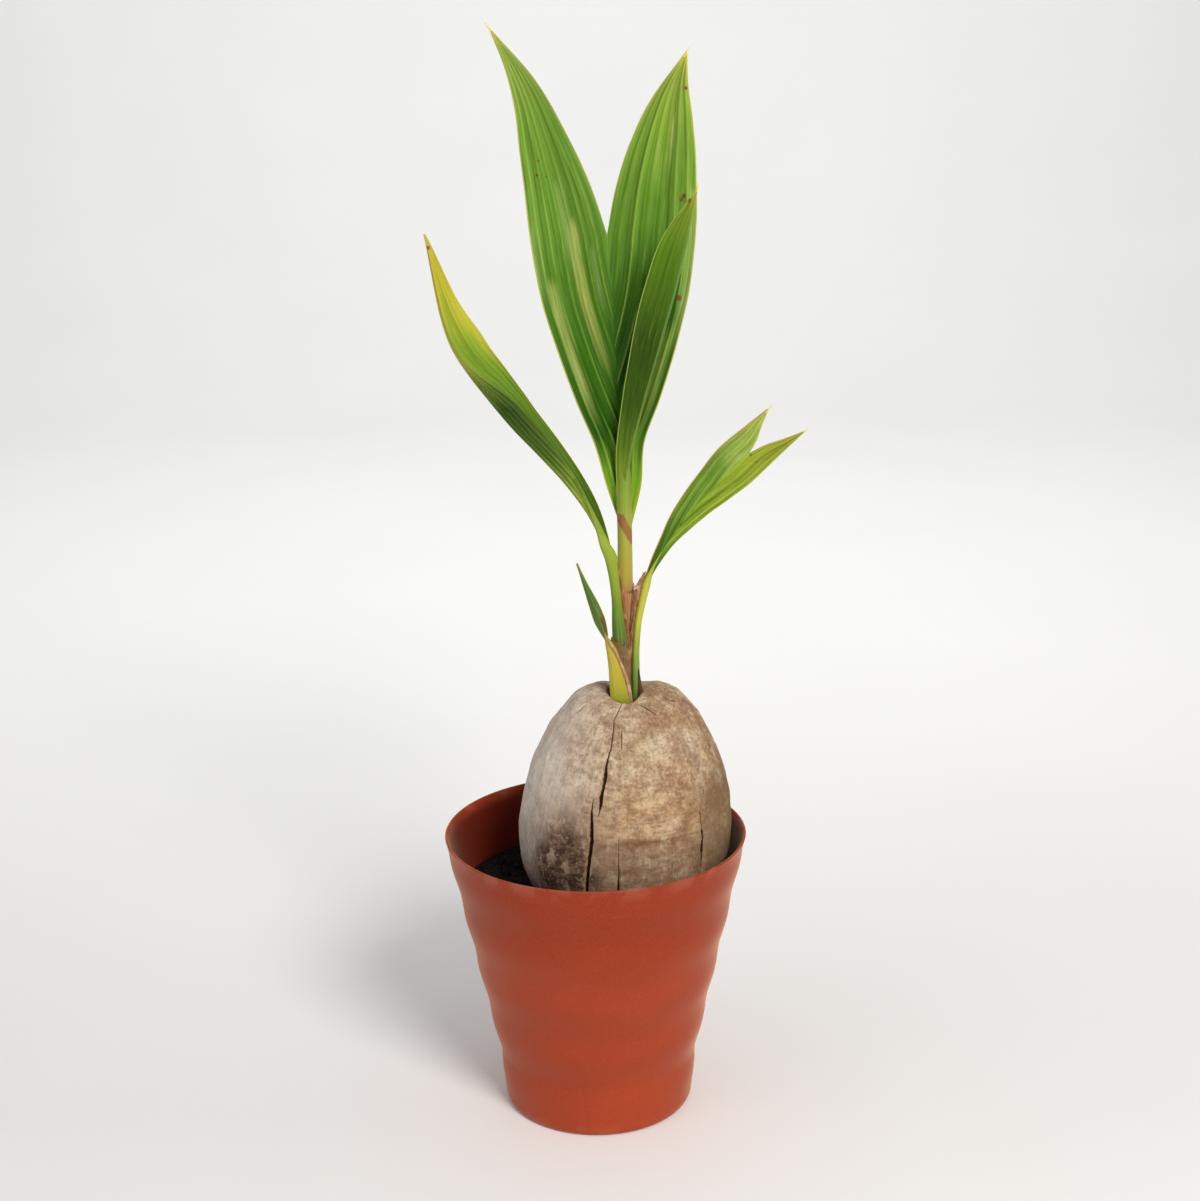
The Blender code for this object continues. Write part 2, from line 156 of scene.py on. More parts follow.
class Finish:
    """A procedural material. One method adds any node, and the rest are short cuts to it."""

    def __init__(self, name, **constants):
        self.material = bpy.data.materials.new(name)
        self.material.use_nodes = True
        self.tree = self.material.node_tree
        self.surface = self.tree.nodes["Principled BSDF"]
        for socket, value in constants.items():
            self.surface.inputs[socket.replace("_", " ")].default_value = value

    def node(self, kind, settings=None, inputs=None, output=0):
        """Add a node: first its settings, then a value or link for each socket named."""
        node = self.tree.nodes.new(kind)
        for name, value in (settings or {}).items():
            if name == "stops":
                ramp = node.color_ramp
                for _ in value[2:]:
                    ramp.elements.new(0.5)
                for element, (position, *shade) in zip(ramp.elements, value):
                    element.position, element.color = position, colour_of(shade)
            else:
                setattr(node, name, value)
        for socket, value in (inputs or {}).items():
            if isinstance(value, Signal):
                self.tree.links.new(value.socket, node.inputs[socket])
            else:
                node.inputs[socket].default_value = value
        return Signal(self, node.outputs[output])

    def drive(self, socket, signal):
        """Feed a varying signal to a socket of the surface shader."""
        self.tree.links.new(signal.socket, self.surface.inputs[socket])

    def lay(self, mask, *shade):
        """Lay a colour over the body colour as far as the mask says."""
        self.body = self.mix(mask, self.body, colour_of(shade))

    def done(self, roughness, normal):
        """Connect the body colour, a roughness and a normal, and give the material."""
        self.drive("Base Color", self.body)
        self.drive("Roughness", roughness)
        self.drive("Normal", normal)
        return self.material

    def math(self, operation, *inputs):
        return self.node("ShaderNodeMath", {"operation": operation}, dict(enumerate(inputs)))

    def place(self):
        """Where a point of the surface lies in the part, in metres."""
        return self.node("ShaderNodeTexCoord", output=3)

    def axes(self, vector):
        """The three numbers of a vector."""
        parts = self.node("ShaderNodeSeparateXYZ", inputs={0: vector}).socket.node
        return [Signal(self, output) for output in parts.outputs]

    def map(self, name):
        """The two numbers of a named UV map."""
        return self.axes(self.node("ShaderNodeUVMap", {"uv_map": name}))[:2]

    def vector(self, x, y, z=0.0):
        return self.node("ShaderNodeCombineXYZ", inputs={0: x, 1: y, 2: z})

    def stretch(self, vector, x, y, z):
        return self.node("ShaderNodeVectorMath", {"operation": 'MULTIPLY'},
                         {0: vector, 1: (x, y, z)})

    def noise(self, vector, scale, detail=2.0, roughness=0.5):
        """Soft noise, about 0.3 to 0.7 round a mean of 0.5."""
        return self.node("ShaderNodeTexNoise", inputs={
            "Vector": vector, "Scale": scale, "Detail": detail, "Roughness": roughness})

    def scatter(self, number):
        """A random but fixed value, 0 to 1, for each number."""
        return self.node("ShaderNodeTexWhiteNoise", {"noise_dimensions": '1D'}, {"W": number})

    def fade(self, signal, low, high):
        """0 at low to 1 at high with soft ends, and the other way round if low is higher."""
        return self.node("ShaderNodeMapRange", {"interpolation_type": 'SMOOTHSTEP'},
                         {0: signal, 1: low, 2: high})

    def distance(self, vector, centre):
        return self.node("ShaderNodeVectorMath", {"operation": 'DISTANCE'},
                         {0: vector, 1: centre}, output=1)

    def mix(self, share, first, second):
        """First colour at share 0, second at share 1."""
        return self.node("ShaderNodeMix", {"data_type": 'RGBA'},
                         {0: share, 6: first, 7: second}, output=2)

    def ramp(self, signal, *stops):
        """Colour read off stops: each a position, and a colour or its red, green and blue."""
        return self.node("ShaderNodeValToRGB", {"stops": stops}, {0: signal})

    def brighten(self, colour, amount):
        """Colour with its brightness times amount."""
        return self.node("ShaderNodeHueSaturation", inputs={"Color": colour, "Value": amount})

    def spot(self, centre, radius):
        """1 inside a ball round a place, fading to 0 at its radius."""
        return self.fade(self.distance(self.place(), centre), radius, 0.45 * radius)

    def bump(self, height, distance, strength, below=None):
        """Normal of a raised pattern, laid on another bump if one is given."""
        inputs = {"Height": height, "Distance": distance, "Strength": strength}
        if below:
            inputs["Normal"] = below
        return self.node("ShaderNodeBump", inputs=inputs)


# ---------------------------------------------------------------- objects

def deselect_all():
    """Leave nothing selected, because operators act on all that is."""
    for obj in bpy.context.selected_objects:
        obj.select_set(False)


def make_active(obj):
    deselect_all()
    obj.select_set(True)
    bpy.context.view_layer.objects.active = obj
    return obj


def mesh_object(name, bm):
    """Turn a bmesh into an object with outward faces."""
    bmesh.ops.recalc_face_normals(bm, faces=bm.faces)
    mesh = bpy.data.meshes.new(name)
    bm.to_mesh(mesh)
    bm.free()
    obj = bpy.data.objects.new(name, mesh)
    bpy.context.scene.collection.objects.link(obj)
    return make_active(obj)


def apply_modifier(obj, kind, **settings):
    """Add a modifier with the given settings and apply it."""
    make_active(obj)
    bpy.ops.object.modifier_add(type=kind)
    modifier = obj.modifiers[-1]
    for name, value in settings.items():
        setattr(modifier, name, value)
    bpy.ops.object.modifier_apply(modifier=modifier.name)


def join(main, *others):
    """Join other objects into the main one."""
    make_active(main)
    for obj in others:
        obj.select_set(True)
    bpy.ops.object.join()
    return main


def hand_over(obj, material, slot, *nodes, sharp_above=50):
    """Finish a piece: material, shading, body, and the CAD nodes it stands for."""
    obj.data.materials.clear()
    obj.data.materials.append(material)
    for polygon in obj.data.polygons:
        polygon.material_index = 0
    make_active(obj)
    bpy.ops.object.shade_smooth_by_angle(angle=math.radians(sharp_above))
    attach(obj, "root")
    if nodes:
        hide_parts(*nodes)
    deselect_all()


def skin(bm, rings, maps=None, closed=True, caps=True):
    """Faces between rings of points. Each map gives a pair of numbers for ring and point."""
    loops = [[bm.verts.new(point) for point in ring] for ring in rings]
    layers = {name: bm.loops.layers.uv.get(name) or bm.loops.layers.uv.new(name)
              for name in (maps or {})}
    count = len(loops[0])
    for k in range(len(loops) - 1):
        for i in range(count if closed else count - 1):
            j = i + 1
            corners = ((k, i), (k, j), (k + 1, j), (k + 1, i))
            face = bm.faces.new([loops[r][c % count] for r, c in corners])
            for loop, (r, c) in zip(face.loops, corners):
                for name, layer in layers.items():
                    loop[layer].uv = maps[name](r, c)
    if closed and caps:
        bm.faces.new(loops[0][::-1])
        bm.faces.new(loops[-1])
    return loops


def strand(bm, points, radii, sides=5, maps=None, flatten=1.0):
    """Thin tapering tube through points, flattened front to back if asked."""
    rings = []
    for k, point in enumerate(points):
        ahead, behind = points[min(k + 1, len(points) - 1)], points[max(k - 1, 0)]
        along = (ahead - behind).normalized()
        side = along.cross(FRONT if abs(along.y) < 0.9 else Vector((0, 0, 1))).normalized()
        out = side.cross(along)
        radius = smooth(radii, k / (len(points) - 1))
        rings.append([point + radius * (math.cos(a) * side + flatten * math.sin(a) * out)
                      for a in angles_round(sides)])
    skin(bm, rings, maps)


# ---------------------------------------------------------------- settings

def length(name, description, default):
    return bpy.props.FloatProperty(name=name, description=description, default=default,
                                   min=0.0, precision=5, unit='LENGTH')


def watts(name, description, default):
    return bpy.props.FloatProperty(name=name, description=description, default=default,
                                   min=0.0, unit='POWER')


def colour(name, description, default):
    return bpy.props.FloatVectorProperty(name=name, description=description, size=4,
                                         default=default, min=0.0, max=1.0,
                                         subtype='COLOR')


class CoconutPotSettings(bpy.types.PropertyGroup):
    wave_depth: length("Wave Depth", "Height of the waves in the pot's wall", 0.0006)
    plastic: colour("Plastic", "Main colour of the pot", tint(165, 59, 26))
    crumbs: bpy.props.IntProperty(
        name="Soil Crumbs", description="Loose crumbs on the soil", default=420, min=0)


class CoconutHuskSettings(bpy.types.PropertyGroup):
    crack_depth: length("Crack Depth", "Depth of the widest crack in the husk", 0.0042)
    fibre_depth: length("Fibre Relief", "Relief of the fibres on the husk", 0.00030)
    pale: colour("Weathered", "Bleached side of the husk", tint(216, 204, 190))
    tan: colour("Tan", "Fresher side of the husk", tint(174, 140, 102))


class CoconutLeafSettings(bpy.types.PropertyGroup):
    thickness: length("Leaf Thickness", "Thickness of a leaf blade", 0.0006)
    pleat_depth: length("Pleat Depth", "Half the height of a leaf's pleats", 0.0011)
    shaded: colour("Deep Green", "Green of a leaf's deepest folds", tint(42, 80, 14))


class CoconutStageSettings(bpy.types.PropertyGroup):
    key_power: watts("Key Light", "Power of the light at the front right", 44.0)
    fill_power: watts("Fill Light", "Power of the light on the left", 5.0)
    backdrop_power: watts("Backdrop Light", "Power of the light on the backdrop", 45.0)
    surroundings: bpy.props.FloatProperty(
        name="Surroundings", description="Strength of the light from all round",
        default=0.42, min=0.0)


# ---------------------------------------------------------------- pot

POT_RIM_RADIUS = 0.1036
POT_KNEE = (0.0692, 0.038)           # radius and height where the wall's slope changes
POT_SLOPE = 0.2124                   # how much the wall widens per metre above the knee
POT_BASE_RADIUS = 0.0655
POT_WALL = 0.002
POT_EDGE_RADIUS = 0.004              # rounding of the edge under the base
POT_WAVE_PITCH = 0.040
POT_WAVE_CREST = 0.180
POT_WAVE_END = 0.015                 # the waves fade out this far below the lip
POT_WALL_FOOT, POT_WALL_HEIGHT = 0.0045, POT_TOP - 0.0060
POT_LIP_ANGLES = (20, 45, 70, 90, 110, 135, 160)
POT_INSIDE_HEIGHTS = (0.195, 0.185, 0.170, 0.150, 0.110, 0.070, POT_KNEE[1], 0.020,
                      POT_WALL)
POT_SEGMENTS = 160
POT_RINGS = 110
DRAIN_RADIUS, DRAIN_RING, DRAIN_HOLES = 0.006, 0.044, 4


def pot_taper(height):
    return between(((0.0, POT_BASE_RADIUS), POT_KNEE[::-1], (POT_TOP, POT_RIM_RADIUS)),
                   height)


def pot_profile(wave_depth):
    """(radius, height) pairs up the outside, over the lip and down the inside."""
    profile = [(POT_BASE_RADIUS - POT_EDGE_RADIUS * (1 - math.sin(a)),
                POT_EDGE_RADIUS * (1 - math.cos(a)))
               for a in (math.radians(angle) for angle in range(0, 90, 9))]
    for i in range(POT_RINGS):
        height = POT_WALL_FOOT + POT_WALL_HEIGHT * i / (POT_RINGS - 1)
        fade = ease(height / POT_WAVE_PITCH) * ease((POT_TOP - height) / POT_WAVE_END)
        wave = math.cos(2 * math.pi * (height - POT_WAVE_CREST) / POT_WAVE_PITCH)
        profile.append((pot_taper(height) + fade * wave_depth * wave, height))
    lip = POT_WALL / 2
    profile += [(POT_RIM_RADIUS - lip + lip * math.cos(a), POT_TOP - lip + lip * math.sin(a))
                for a in (math.radians(angle) for angle in POT_LIP_ANGLES)]
    profile += [(pot_taper(height) - POT_WALL, height) for height in POT_INSIDE_HEIGHTS]
    return profile


def raise_rings(name, profile, segments):
    """Round solid from a filled circle that is extruded and resized ring by ring."""
    deselect_all()
    radius, height = profile[0]
    bpy.ops.mesh.primitive_circle_add(vertices=segments, radius=radius, fill_type='NGON',
                                      location=(0.0, 0.0, height))
    obj = bpy.context.object
    obj.name = name
    bpy.ops.object.transform_apply(location=True)
    bpy.ops.object.mode_set(mode='EDIT')
    bpy.ops.mesh.select_all(action='SELECT')
    for (r0, z0), (r1, z1) in zip(profile, profile[1:]):
        bpy.ops.mesh.extrude_region_move(
            TRANSFORM_OT_translate={"value": (0.0, 0.0, z1 - z0)})
        bpy.ops.transform.resize(value=(r1 / r0, r1 / r0, 1.0),
                                 center_override=(0.0, 0.0, z1))
    bpy.ops.mesh.select_all(action='SELECT')
    bpy.ops.mesh.normals_make_consistent(inside=False)
    bpy.ops.object.mode_set(mode='OBJECT')
    return obj


def plastic_finish(plastic):
    """Satin terracotta-coloured plastic with a fine grain, a little dust, and painted shade
    inside.
    """
    finish = Finish("pot_plastic", Roughness=0.5, Specular_IOR_Level=0.2, Sheen_Weight=0.62,
                    Sheen_Roughness=0.32, Sheen_Tint=tint(255, 214, 178))
    fade, place = finish.fade, finish.place()
    x, _, height = finish.axes(place)
    cloud = finish.noise(finish.stretch(place, 1, 1, 1.6), 9, 4)
    grain = finish.noise(place, 1300, 3, 0.7)
    finish.body = finish.mix(fade(cloud, 0.36, 0.66), tint(154, 53, 24), plastic)
    finish.lay(fade(height, 0.105, 0.165) * 0.75, 138, 38, 6)
    finish.lay(fade(grain, 0.34, 0.74) * 0.22, 204, 106, 68)
    # dust near the lip and the base, and fine scuffs round the wall
    dust = fade(height, 0.188, 0.199) + fade(height, 0.012, 0.002) * 0.7
    patchy = fade(finish.noise(place, 60, 3), 0.42, 0.62)
    finish.lay(dust * patchy * 0.16, 205, 136, 108)
    scuffs = fade(finish.noise(finish.stretch(place, 1, 1, 7), 55, 4, 0.65), 0.62, 0.74)
    finish.lay(scuffs * 0.08, 200, 118, 86)
    # painted shade on the inside wall, with a deeper painted shadow on the right
    from_axis = finish.node("ShaderNodeVectorMath", {"operation": 'LENGTH'},
                            {0: finish.stretch(place, 1, 1, 0)}, output=1)
    wall = from_axis - ((height - POT_KNEE[1]) * POT_SLOPE + POT_KNEE[0])
    inside = fade(wall, -0.0012, -0.0018) * fade(height, 0.199, 0.190)
    finish.lay(inside * 0.85, 88, 16, 4)
    finish.lay(inside * fade(x, 0.030, 0.070) * 0.9, 22, 5, 3)
    return finish.done(0.52 + grain * 0.12 + scuffs * 0.12,
                       finish.bump(grain, 0.00016, 0.5))


class COCONUT_OT_pot(bpy.types.Operator):
    """Build the plastic pot with its waved wall, rounded lip and drain holes"""
    bl_idname = "coconut.pot"
    bl_label = "Pot"

    def execute(self, context):
        settings = context.scene.coconut_pot
        pot = raise_rings("plastic_pot", pot_profile(settings.wave_depth), POT_SEGMENTS)
        for i in range(DRAIN_HOLES):
            angle = 2 * math.pi * (i + 0.5) / DRAIN_HOLES
            deselect_all()
            bpy.ops.mesh.primitive_cylinder_add(
                vertices=32, radius=DRAIN_RADIUS, depth=4 * POT_WALL,
                location=(DRAIN_RING * math.cos(angle), DRAIN_RING * math.sin(angle),
                          POT_WALL / 2))
            drill = bpy.context.object
            apply_modifier(pot, 'BOOLEAN', operation='DIFFERENCE', solver='EXACT',
                           object=drill)
            bpy.data.objects.remove(drill)
        hand_over(pot, plastic_finish(settings.plastic), "terracotta_plastic", "pot",
                  sharp_above=35)
        return {'FINISHED'}


# ---------------------------------------------------------------- soil

SOIL_GAP = 0.0003                    # between the mix and the pot's wall
SOIL_FLAT = 0.158                    # height of the mix before its lumps are raised
SOIL_SEGMENTS = 120
SOIL_INSETS, SOIL_INSET = 44, 0.0020
SOIL_LUMPS = ((0.020, 0.0030), (0.0045, 0.0022))     # size and height of each kind of lump
SOIL_EDGE = 0.006                    # the lumps fade out this far from the wall
CRUMB_SIZE, CRUMB_SPREAD = 0.0005, 0.0016     # smallest, and how much larger they get
CRUMB_EDGE = 0.004                   # crumbs stay this far from the wall
NUT_CLEARANCE = (Vector((0.0195, 0.0045)), 0.067)     # no crumbs inside this circle


def soil_finish():
    """Dark moist potting mix with lighter crumbs of bark."""
    finish = Finish("dark_potting_soil", Roughness=0.95, Specular_IOR_Level=0.2)
    place = finish.place()
    crumbs = finish.node("ShaderNodeTexVoronoi", {"feature": 'F1'},
                         {"Vector": place, "Scale": 420.0})
    tone = finish.noise(place, 260, 4, 0.65)
    finish.body = finish.ramp(tone, (0.30, 7, 5, 4), (0.52, 16, 12, 10),
                              (0.68, 34, 26, 20), (0.80, 70, 56, 44))
    return finish.done(0.85 + tone * 0.15, finish.bump(crumbs * 0.6 + tone, 0.0006, 0.8))


class COCONUT_OT_soil(bpy.types.Operator):
    """Build the potting soil, with a rough surface, loose crumbs and a bed for the nut"""
    bl_idname = "coconut.soil"
    bl_label = "Soil"

    def execute(self, context):
        wall = [(pot_taper(z) - POT_WALL - SOIL_GAP, z)
                for z in (POT_WALL + SOIL_GAP, POT_KNEE[1], SOIL_FLAT)]
        soil = raise_rings("potting_mix", wall, SOIL_SEGMENTS)
        radius, top = wall[-1][0], SOIL_FLAT - 0.001
        bpy.ops.object.mode_set(mode='EDIT')
        bpy.ops.mesh.select_mode(type='FACE')
        bm = bmesh.from_edit_mesh(soil.data)
        for face in bm.faces:
            face.select = face.normal.z > 0.9 and face.calc_center_median().z > top
        for _ in range(SOIL_INSETS):
            bpy.ops.mesh.inset(thickness=SOIL_INSET, depth=0.0)
        bpy.ops.object.mode_set(mode='OBJECT')
        surface = soil.vertex_groups.new(name="surface")
        for vertex in soil.data.vertices:
            inward = (radius - vertex.co.xy.length) / SOIL_EDGE
            if vertex.co.z > top and inward > 0.0:
                surface.add([vertex.index], min(1.0, inward), 'REPLACE')
        for size, height in SOIL_LUMPS:
            clouds = bpy.data.textures.new("soil_lumps", 'CLOUDS')
            clouds.noise_scale, clouds.noise_depth = size, 3
            apply_modifier(soil, 'DISPLACE', texture=clouds, strength=height, mid_level=0.45,
                           direction='Z', vertex_group="surface", texture_coords='LOCAL')
            bpy.data.textures.remove(clouds)
        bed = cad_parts["coconut_husk"].copy()
        bed.data = bed.data.copy()
        bed.parent = None
        bed.hide_viewport = False
        bpy.context.scene.collection.objects.link(bed)
        make_active(bed)
        bpy.ops.object.mode_set(mode='EDIT')
        bpy.ops.mesh.select_all(action='SELECT')
        bpy.ops.mesh.remove_doubles(threshold=0.00001)
        bpy.ops.object.mode_set(mode='OBJECT')
        apply_modifier(soil, 'BOOLEAN', operation='DIFFERENCE', solver='EXACT', object=bed)
        bpy.data.objects.remove(bed)
        soil.vertex_groups.clear()
        join(soil, self.crumbs(context.scene.coconut_pot.crumbs, radius))
        hand_over(soil, soil_finish(), "dark_soil", "potting_soil", sharp_above=60)
        return {'FINISHED'}

    def crumbs(self, count, radius):
        """Angular crumbs that lie on the soil, clear of the nut and the wall."""
        draw = random.Random(11)
        bm = bmesh.new()
        nut, clear = NUT_CLEARANCE
        while count:
            turn, reach = draw.uniform(0, 2 * math.pi), radius * math.sqrt(draw.random())
            spot = Vector((reach * math.cos(turn), reach * math.sin(turn)))
            size = CRUMB_SIZE + CRUMB_SPREAD * draw.random() ** 3
            if (spot - nut).length < clear or reach > radius - CRUMB_EDGE:
                continue
            made = bmesh.ops.create_icosphere(bm, subdivisions=1, radius=size)["verts"]
            for vertex in made:
                vertex.co *= draw.uniform(0.7, 1.25)
                vertex.co.z *= 0.8
                vertex.co += Vector((*spot, SOIL_TOP - 0.0010 + 0.5 * size))
            count -= 1
        return mesh_object("crumbs", bm)


# ---------------------------------------------------------------- husk

NUT_CENTRE = Vector((0.0201, 0.0045))
NUT_LEAN = 0.035                     # sideways per metre of height
NUT_RADIUS = 0.073
NUT_WIDEST, NUT_BOTTOM, NUT_POLE = 0.197, 0.127, 0.3086
NUT_SWELL = 0.012                    # share by which three ridges stand out
NUT_LOBE_LIFT, NUT_LOBE_START = 0.0028, 0.240     # lift of the crown's two lobes
PIT_CENTRE = Vector((0.0210, -0.0008))
PIT_RIM = 0.3002
PIT_FLOOR = 0.2855
PIT_SQUEEZE = 0.28                   # how much narrower than deep the pit is
NUT_LATITUDES = (5, 18, 32, 46, 60, 75, 90, 103, 115, 126, 136, 145, 152)
NUT_SHOULDER = (0.0250, 0.3003)      # radius and height of the ring outside the pit's rim
NUT_COLUMNS = 420
NUT_FRONT, NUT_FRONT_SPREAD = 270, 60     # where the columns lie closer, in degrees
NUT_ROW_STEP, NUT_BURIED_STEP = 0.0010, 0.005     # between rows, in sight and in the soil
NUT_BURIED = SOIL_TOP - 0.004
# Rows of the pit's wall: radius, height and how much of the crown's lobes they follow.
PIT_ROWS = ((0.0178, PIT_RIM, 1.0), (0.0168, PIT_RIM - 0.003, 1.0),
            (0.0166, PIT_RIM - 0.0085, 0.5), (0.0165, PIT_FLOOR, 0.0))
PROFILE_SAMPLES, TURN_SAMPLES = 3000, 1440
SKIN_FADE = 0.03                     # share of the profile where the relief fades at the rim
HUSK_LUMPS = ((0.0009, 28), (0.0005, 75))     # height and fineness
FINE_FIBRES = 0.55                   # relief of the fine fibres against the coarse ones
FRAY_HEIGHT, FRAY_START = 0.0011, 0.22     # tufts, raised where the noise passes START
DENT_DEPTH, DENT_START = 0.0020, 0.35
CRACK_LIP, CRACK_WANDER = 0.0003, 0.35     # in metres, and in mm to each side
CRACK_REACH = 4.0                    # offsets are kept within this many mm
NO_CRACK = (9.0, -1.0)               # offset and half width, in mm, far from any crack
FLAP_TURN, FLAP_HALF_TURN = 336, 6.5     # a rag of skin: middle and half width, degrees
FLAP_HEIGHT, FLAP_HALF_HEIGHT, FLAP_DEPTH = 0.2170, 0.0085, 0.0022
STEP_FOOT, STEP_TOP, STEP_DEPTH = 0.2178, 0.235, 0.0006
STEP_TURNS, STEP_FADE = (250, 318), 8     # degrees between which the step runs
EGG_SPANS = len(NUT_LATITUDES) + 1   # profile steps from the bottom up to the pit's rim

# Cracks run down the husk: (turn in degrees, share of the egg's profile, half width in mm).
CRACKS = (
    ((-102.5, 0.985, 0.10), (-105.3, 0.829, 0.14), (-104.5, 0.783, 0.15),
     (-104.0, 0.722, 0.22), (-105.0, 0.686, 0.35), (-105.5, 0.656, 0.70),
     (-105.4, 0.635, 1.15), (-105.5, 0.602, 0.75), (-106.2, 0.579, 1.05),
     (-106.0, 0.562, 0.80), (-106.1, 0.550, 0.25), (-106.3, 0.536, 0.0)),
    ((-110.3, 0.577, 0.05), (-110.6, 0.555, 0.28), (-110.5, 0.535, 0.75),
     (-110.0, 0.512, 1.05), (-109.5, 0.485, 1.15), (-110.0, 0.465, 1.05),
     (-110.5, 0.438, 0.95), (-111.0, 0.401, 0.85), (-111.6, 0.371, 0.80),
     (-112.5, 0.300, 0.30), (-113.0, 0.270, 0.0)),
    ((-39.5, 0.574, 0.10), (-42.5, 0.549, 0.95), (-45.0, 0.528, 1.25), (-45.8, 0.508, 1.05),
     (-45.0, 0.488, 1.25), (-44.2, 0.475, 1.55), (-45.0, 0.458, 1.85), (-45.0, 0.442, 1.65),
     (-45.7, 0.421, 1.40), (-45.6, 0.401, 1.10), (-46.0, 0.360, 0.0)),
    ((-94.5, 0.510, 0.0), (-94.2, 0.468, 0.10), (-94.0, 0.428, 0.22), (-94.0, 0.381, 0.55),
     (-94.6, 0.330, 0.20), (-95.0, 0.300, 0.0)),
    ((-84.0, 0.990, 0.10), (-77.0, 0.950, 0.18), (-69.0, 0.900, 0.26), (-63.5, 0.866, 0.20),
     (-59.0, 0.828, 0.0)),
    ((-96.6, 0.790, 0.0), (-96.5, 0.770, 0.12), (-95.9, 0.735, 0.14), (-95.4, 0.708, 0.0)),
    ((-145.0, 0.860, 0.0), (-146.0, 0.825, 0.14), (-147.5, 0.790, 0.0)),
    ((-34.5, 0.905, 0.0), (-30.0, 0.870, 0.16), (-25.5, 0.838, 0.0)),
    ((58.0, 0.930, 0.0), (56.0, 0.800, 0.35), (57.5, 0.650, 0.60), (55.0, 0.520, 0.50),
     (56.5, 0.420, 0.0)),
    ((142.0, 0.760, 0.0), (144.0, 0.620, 0.30), (143.0, 0.480, 0.55), (145.0, 0.380, 0.0)),
)


def nut_stations():
    """Profile from bottom to pit floor: centre, radius, height, lobe, swell and squeeze."""
    stations = []
    for degrees in NUT_LATITUDES:
        a = math.radians(degrees)
        pole = NUT_BOTTOM if degrees < 90 else NUT_POLE
        height = NUT_WIDEST + abs(math.cos(a)) * (pole - NUT_WIDEST)
        rise = ease((height - NUT_LOBE_START) / (PIT_RIM - NUT_LOBE_START))
        stations.append((NUT_CENTRE.x + NUT_LEAN * (height - NUT_WIDEST), NUT_CENTRE.y,
                         NUT_RADIUS * math.sin(a), height, rise, NUT_SWELL, 0.0))
    stations.append((NUT_CENTRE.x + NUT_LEAN * (NUT_SHOULDER[1] - NUT_WIDEST),
                     NUT_CENTRE.y, *NUT_SHOULDER, 1.0, 0.5 * NUT_SWELL, 0.3 * PIT_SQUEEZE))
    for radius, height, rise in PIT_ROWS:
        stations.append((*PIT_CENTRE, radius, height, rise, 0.0, PIT_SQUEEZE))
    return stations


def nut_rows(stations):
    """The profile's columns of numbers, and places along it at even steps of surface."""
    columns = list(zip(*stations))
    fine = [k / PROFILE_SAMPLES for k in range(PROFILE_SAMPLES + 1)]
    rows, run, before = [0.0], 0.0, None
    for t in fine:
        radius, height = smooth(columns[2], t), smooth(columns[3], t)
        if before:
            run += math.hypot(radius - before[0], height - before[1])
        before = (radius, height)
        if run >= (NUT_ROW_STEP if height > NUT_BURIED else NUT_BURIED_STEP):
            rows.append(t)
            run = 0.0
    return columns, rows + [1.0]


def nut_turns():
    """Angles round the nut, closer together at the front."""
    fine = [math.radians(k * 360 / TURN_SAMPLES) for k in range(TURN_SAMPLES)]
    weights = [1.0 + 2.0 * math.exp(-(math.degrees(a) - NUT_FRONT) ** 2
                                    / NUT_FRONT_SPREAD ** 2) for a in fine]
    total, run, turns = sum(weights), 0.0, []
    for a, weight in zip(fine, weights):
        if run >= len(turns) * total / NUT_COLUMNS:
            turns.append(a)
        run += weight
    return turns


def crack_at(crack, turn, share, radius):
    """Sideways distance from a crack and the crack's half width there, in mm."""
    line = [(s, (a, w)) for a, s, w in reversed(crack)]
    if not line[0][0] <= share <= line[-1][0]:
        return NO_CRACK
    middle = between([(s, aw[0]) for s, aw in line], share)
    half = between([(s, aw[1]) for s, aw in line], share)
    wander = CRACK_WANDER * noise.noise(Vector((share * 90, crack[0][0], 0.0)))
    offset = (math.degrees(turn) - 360 * (turn > math.pi) - middle + 540) % 360 - 180
    return math.radians(offset) * radius / MM + wander, half


def husk_relief(turn, height, point, fibre_depth):
    """How far the husk's skin stands out at a place, without its cracks, in metres."""
    lumps = sum(size * noise.noise(point * fineness) for size, fineness in HUSK_LUMPS)
    streak = Vector((math.cos(turn), math.sin(turn), 0.0))
    wiggle = 0.12 * noise.noise(point * 40)
    coarse = noise.noise(streak * 17 + Vector((wiggle, 0, height * 14)))
    fine = noise.noise(streak * 52 + Vector((wiggle, 3, height * 30)))
    fray = noise.noise(Vector((point.x * 160, point.y * 160, height * 60))) - FRAY_START
    dents = noise.noise(point * 105 + Vector((7, 1, 4))) - DENT_START
    return (lumps + fibre_depth * (coarse + FINE_FIBRES * fine)
            + FRAY_HEIGHT * max(0.0, fray) - DENT_DEPTH * max(0.0, dents))


def husk_flap(turn, height):
    """Raised rag of torn skin on the right, and the step under the tan band."""
    across = (math.degrees(turn) - FLAP_TURN) / FLAP_HALF_TURN
    up = (height - FLAP_HEIGHT) / FLAP_HALF_HEIGHT
    flap = FLAP_DEPTH * max(0.0, 1 - across * across - up * up) ** 0.7
    start, end = STEP_TURNS
    front = (ease((math.degrees(turn) - start) / STEP_FADE)
             * ease((end - math.degrees(turn)) / STEP_FADE))
    step = (STEP_DEPTH * front * ease((height - STEP_FOOT) / 0.0012)
            * ease((STEP_TOP - height) / 0.01))
    return flap + step


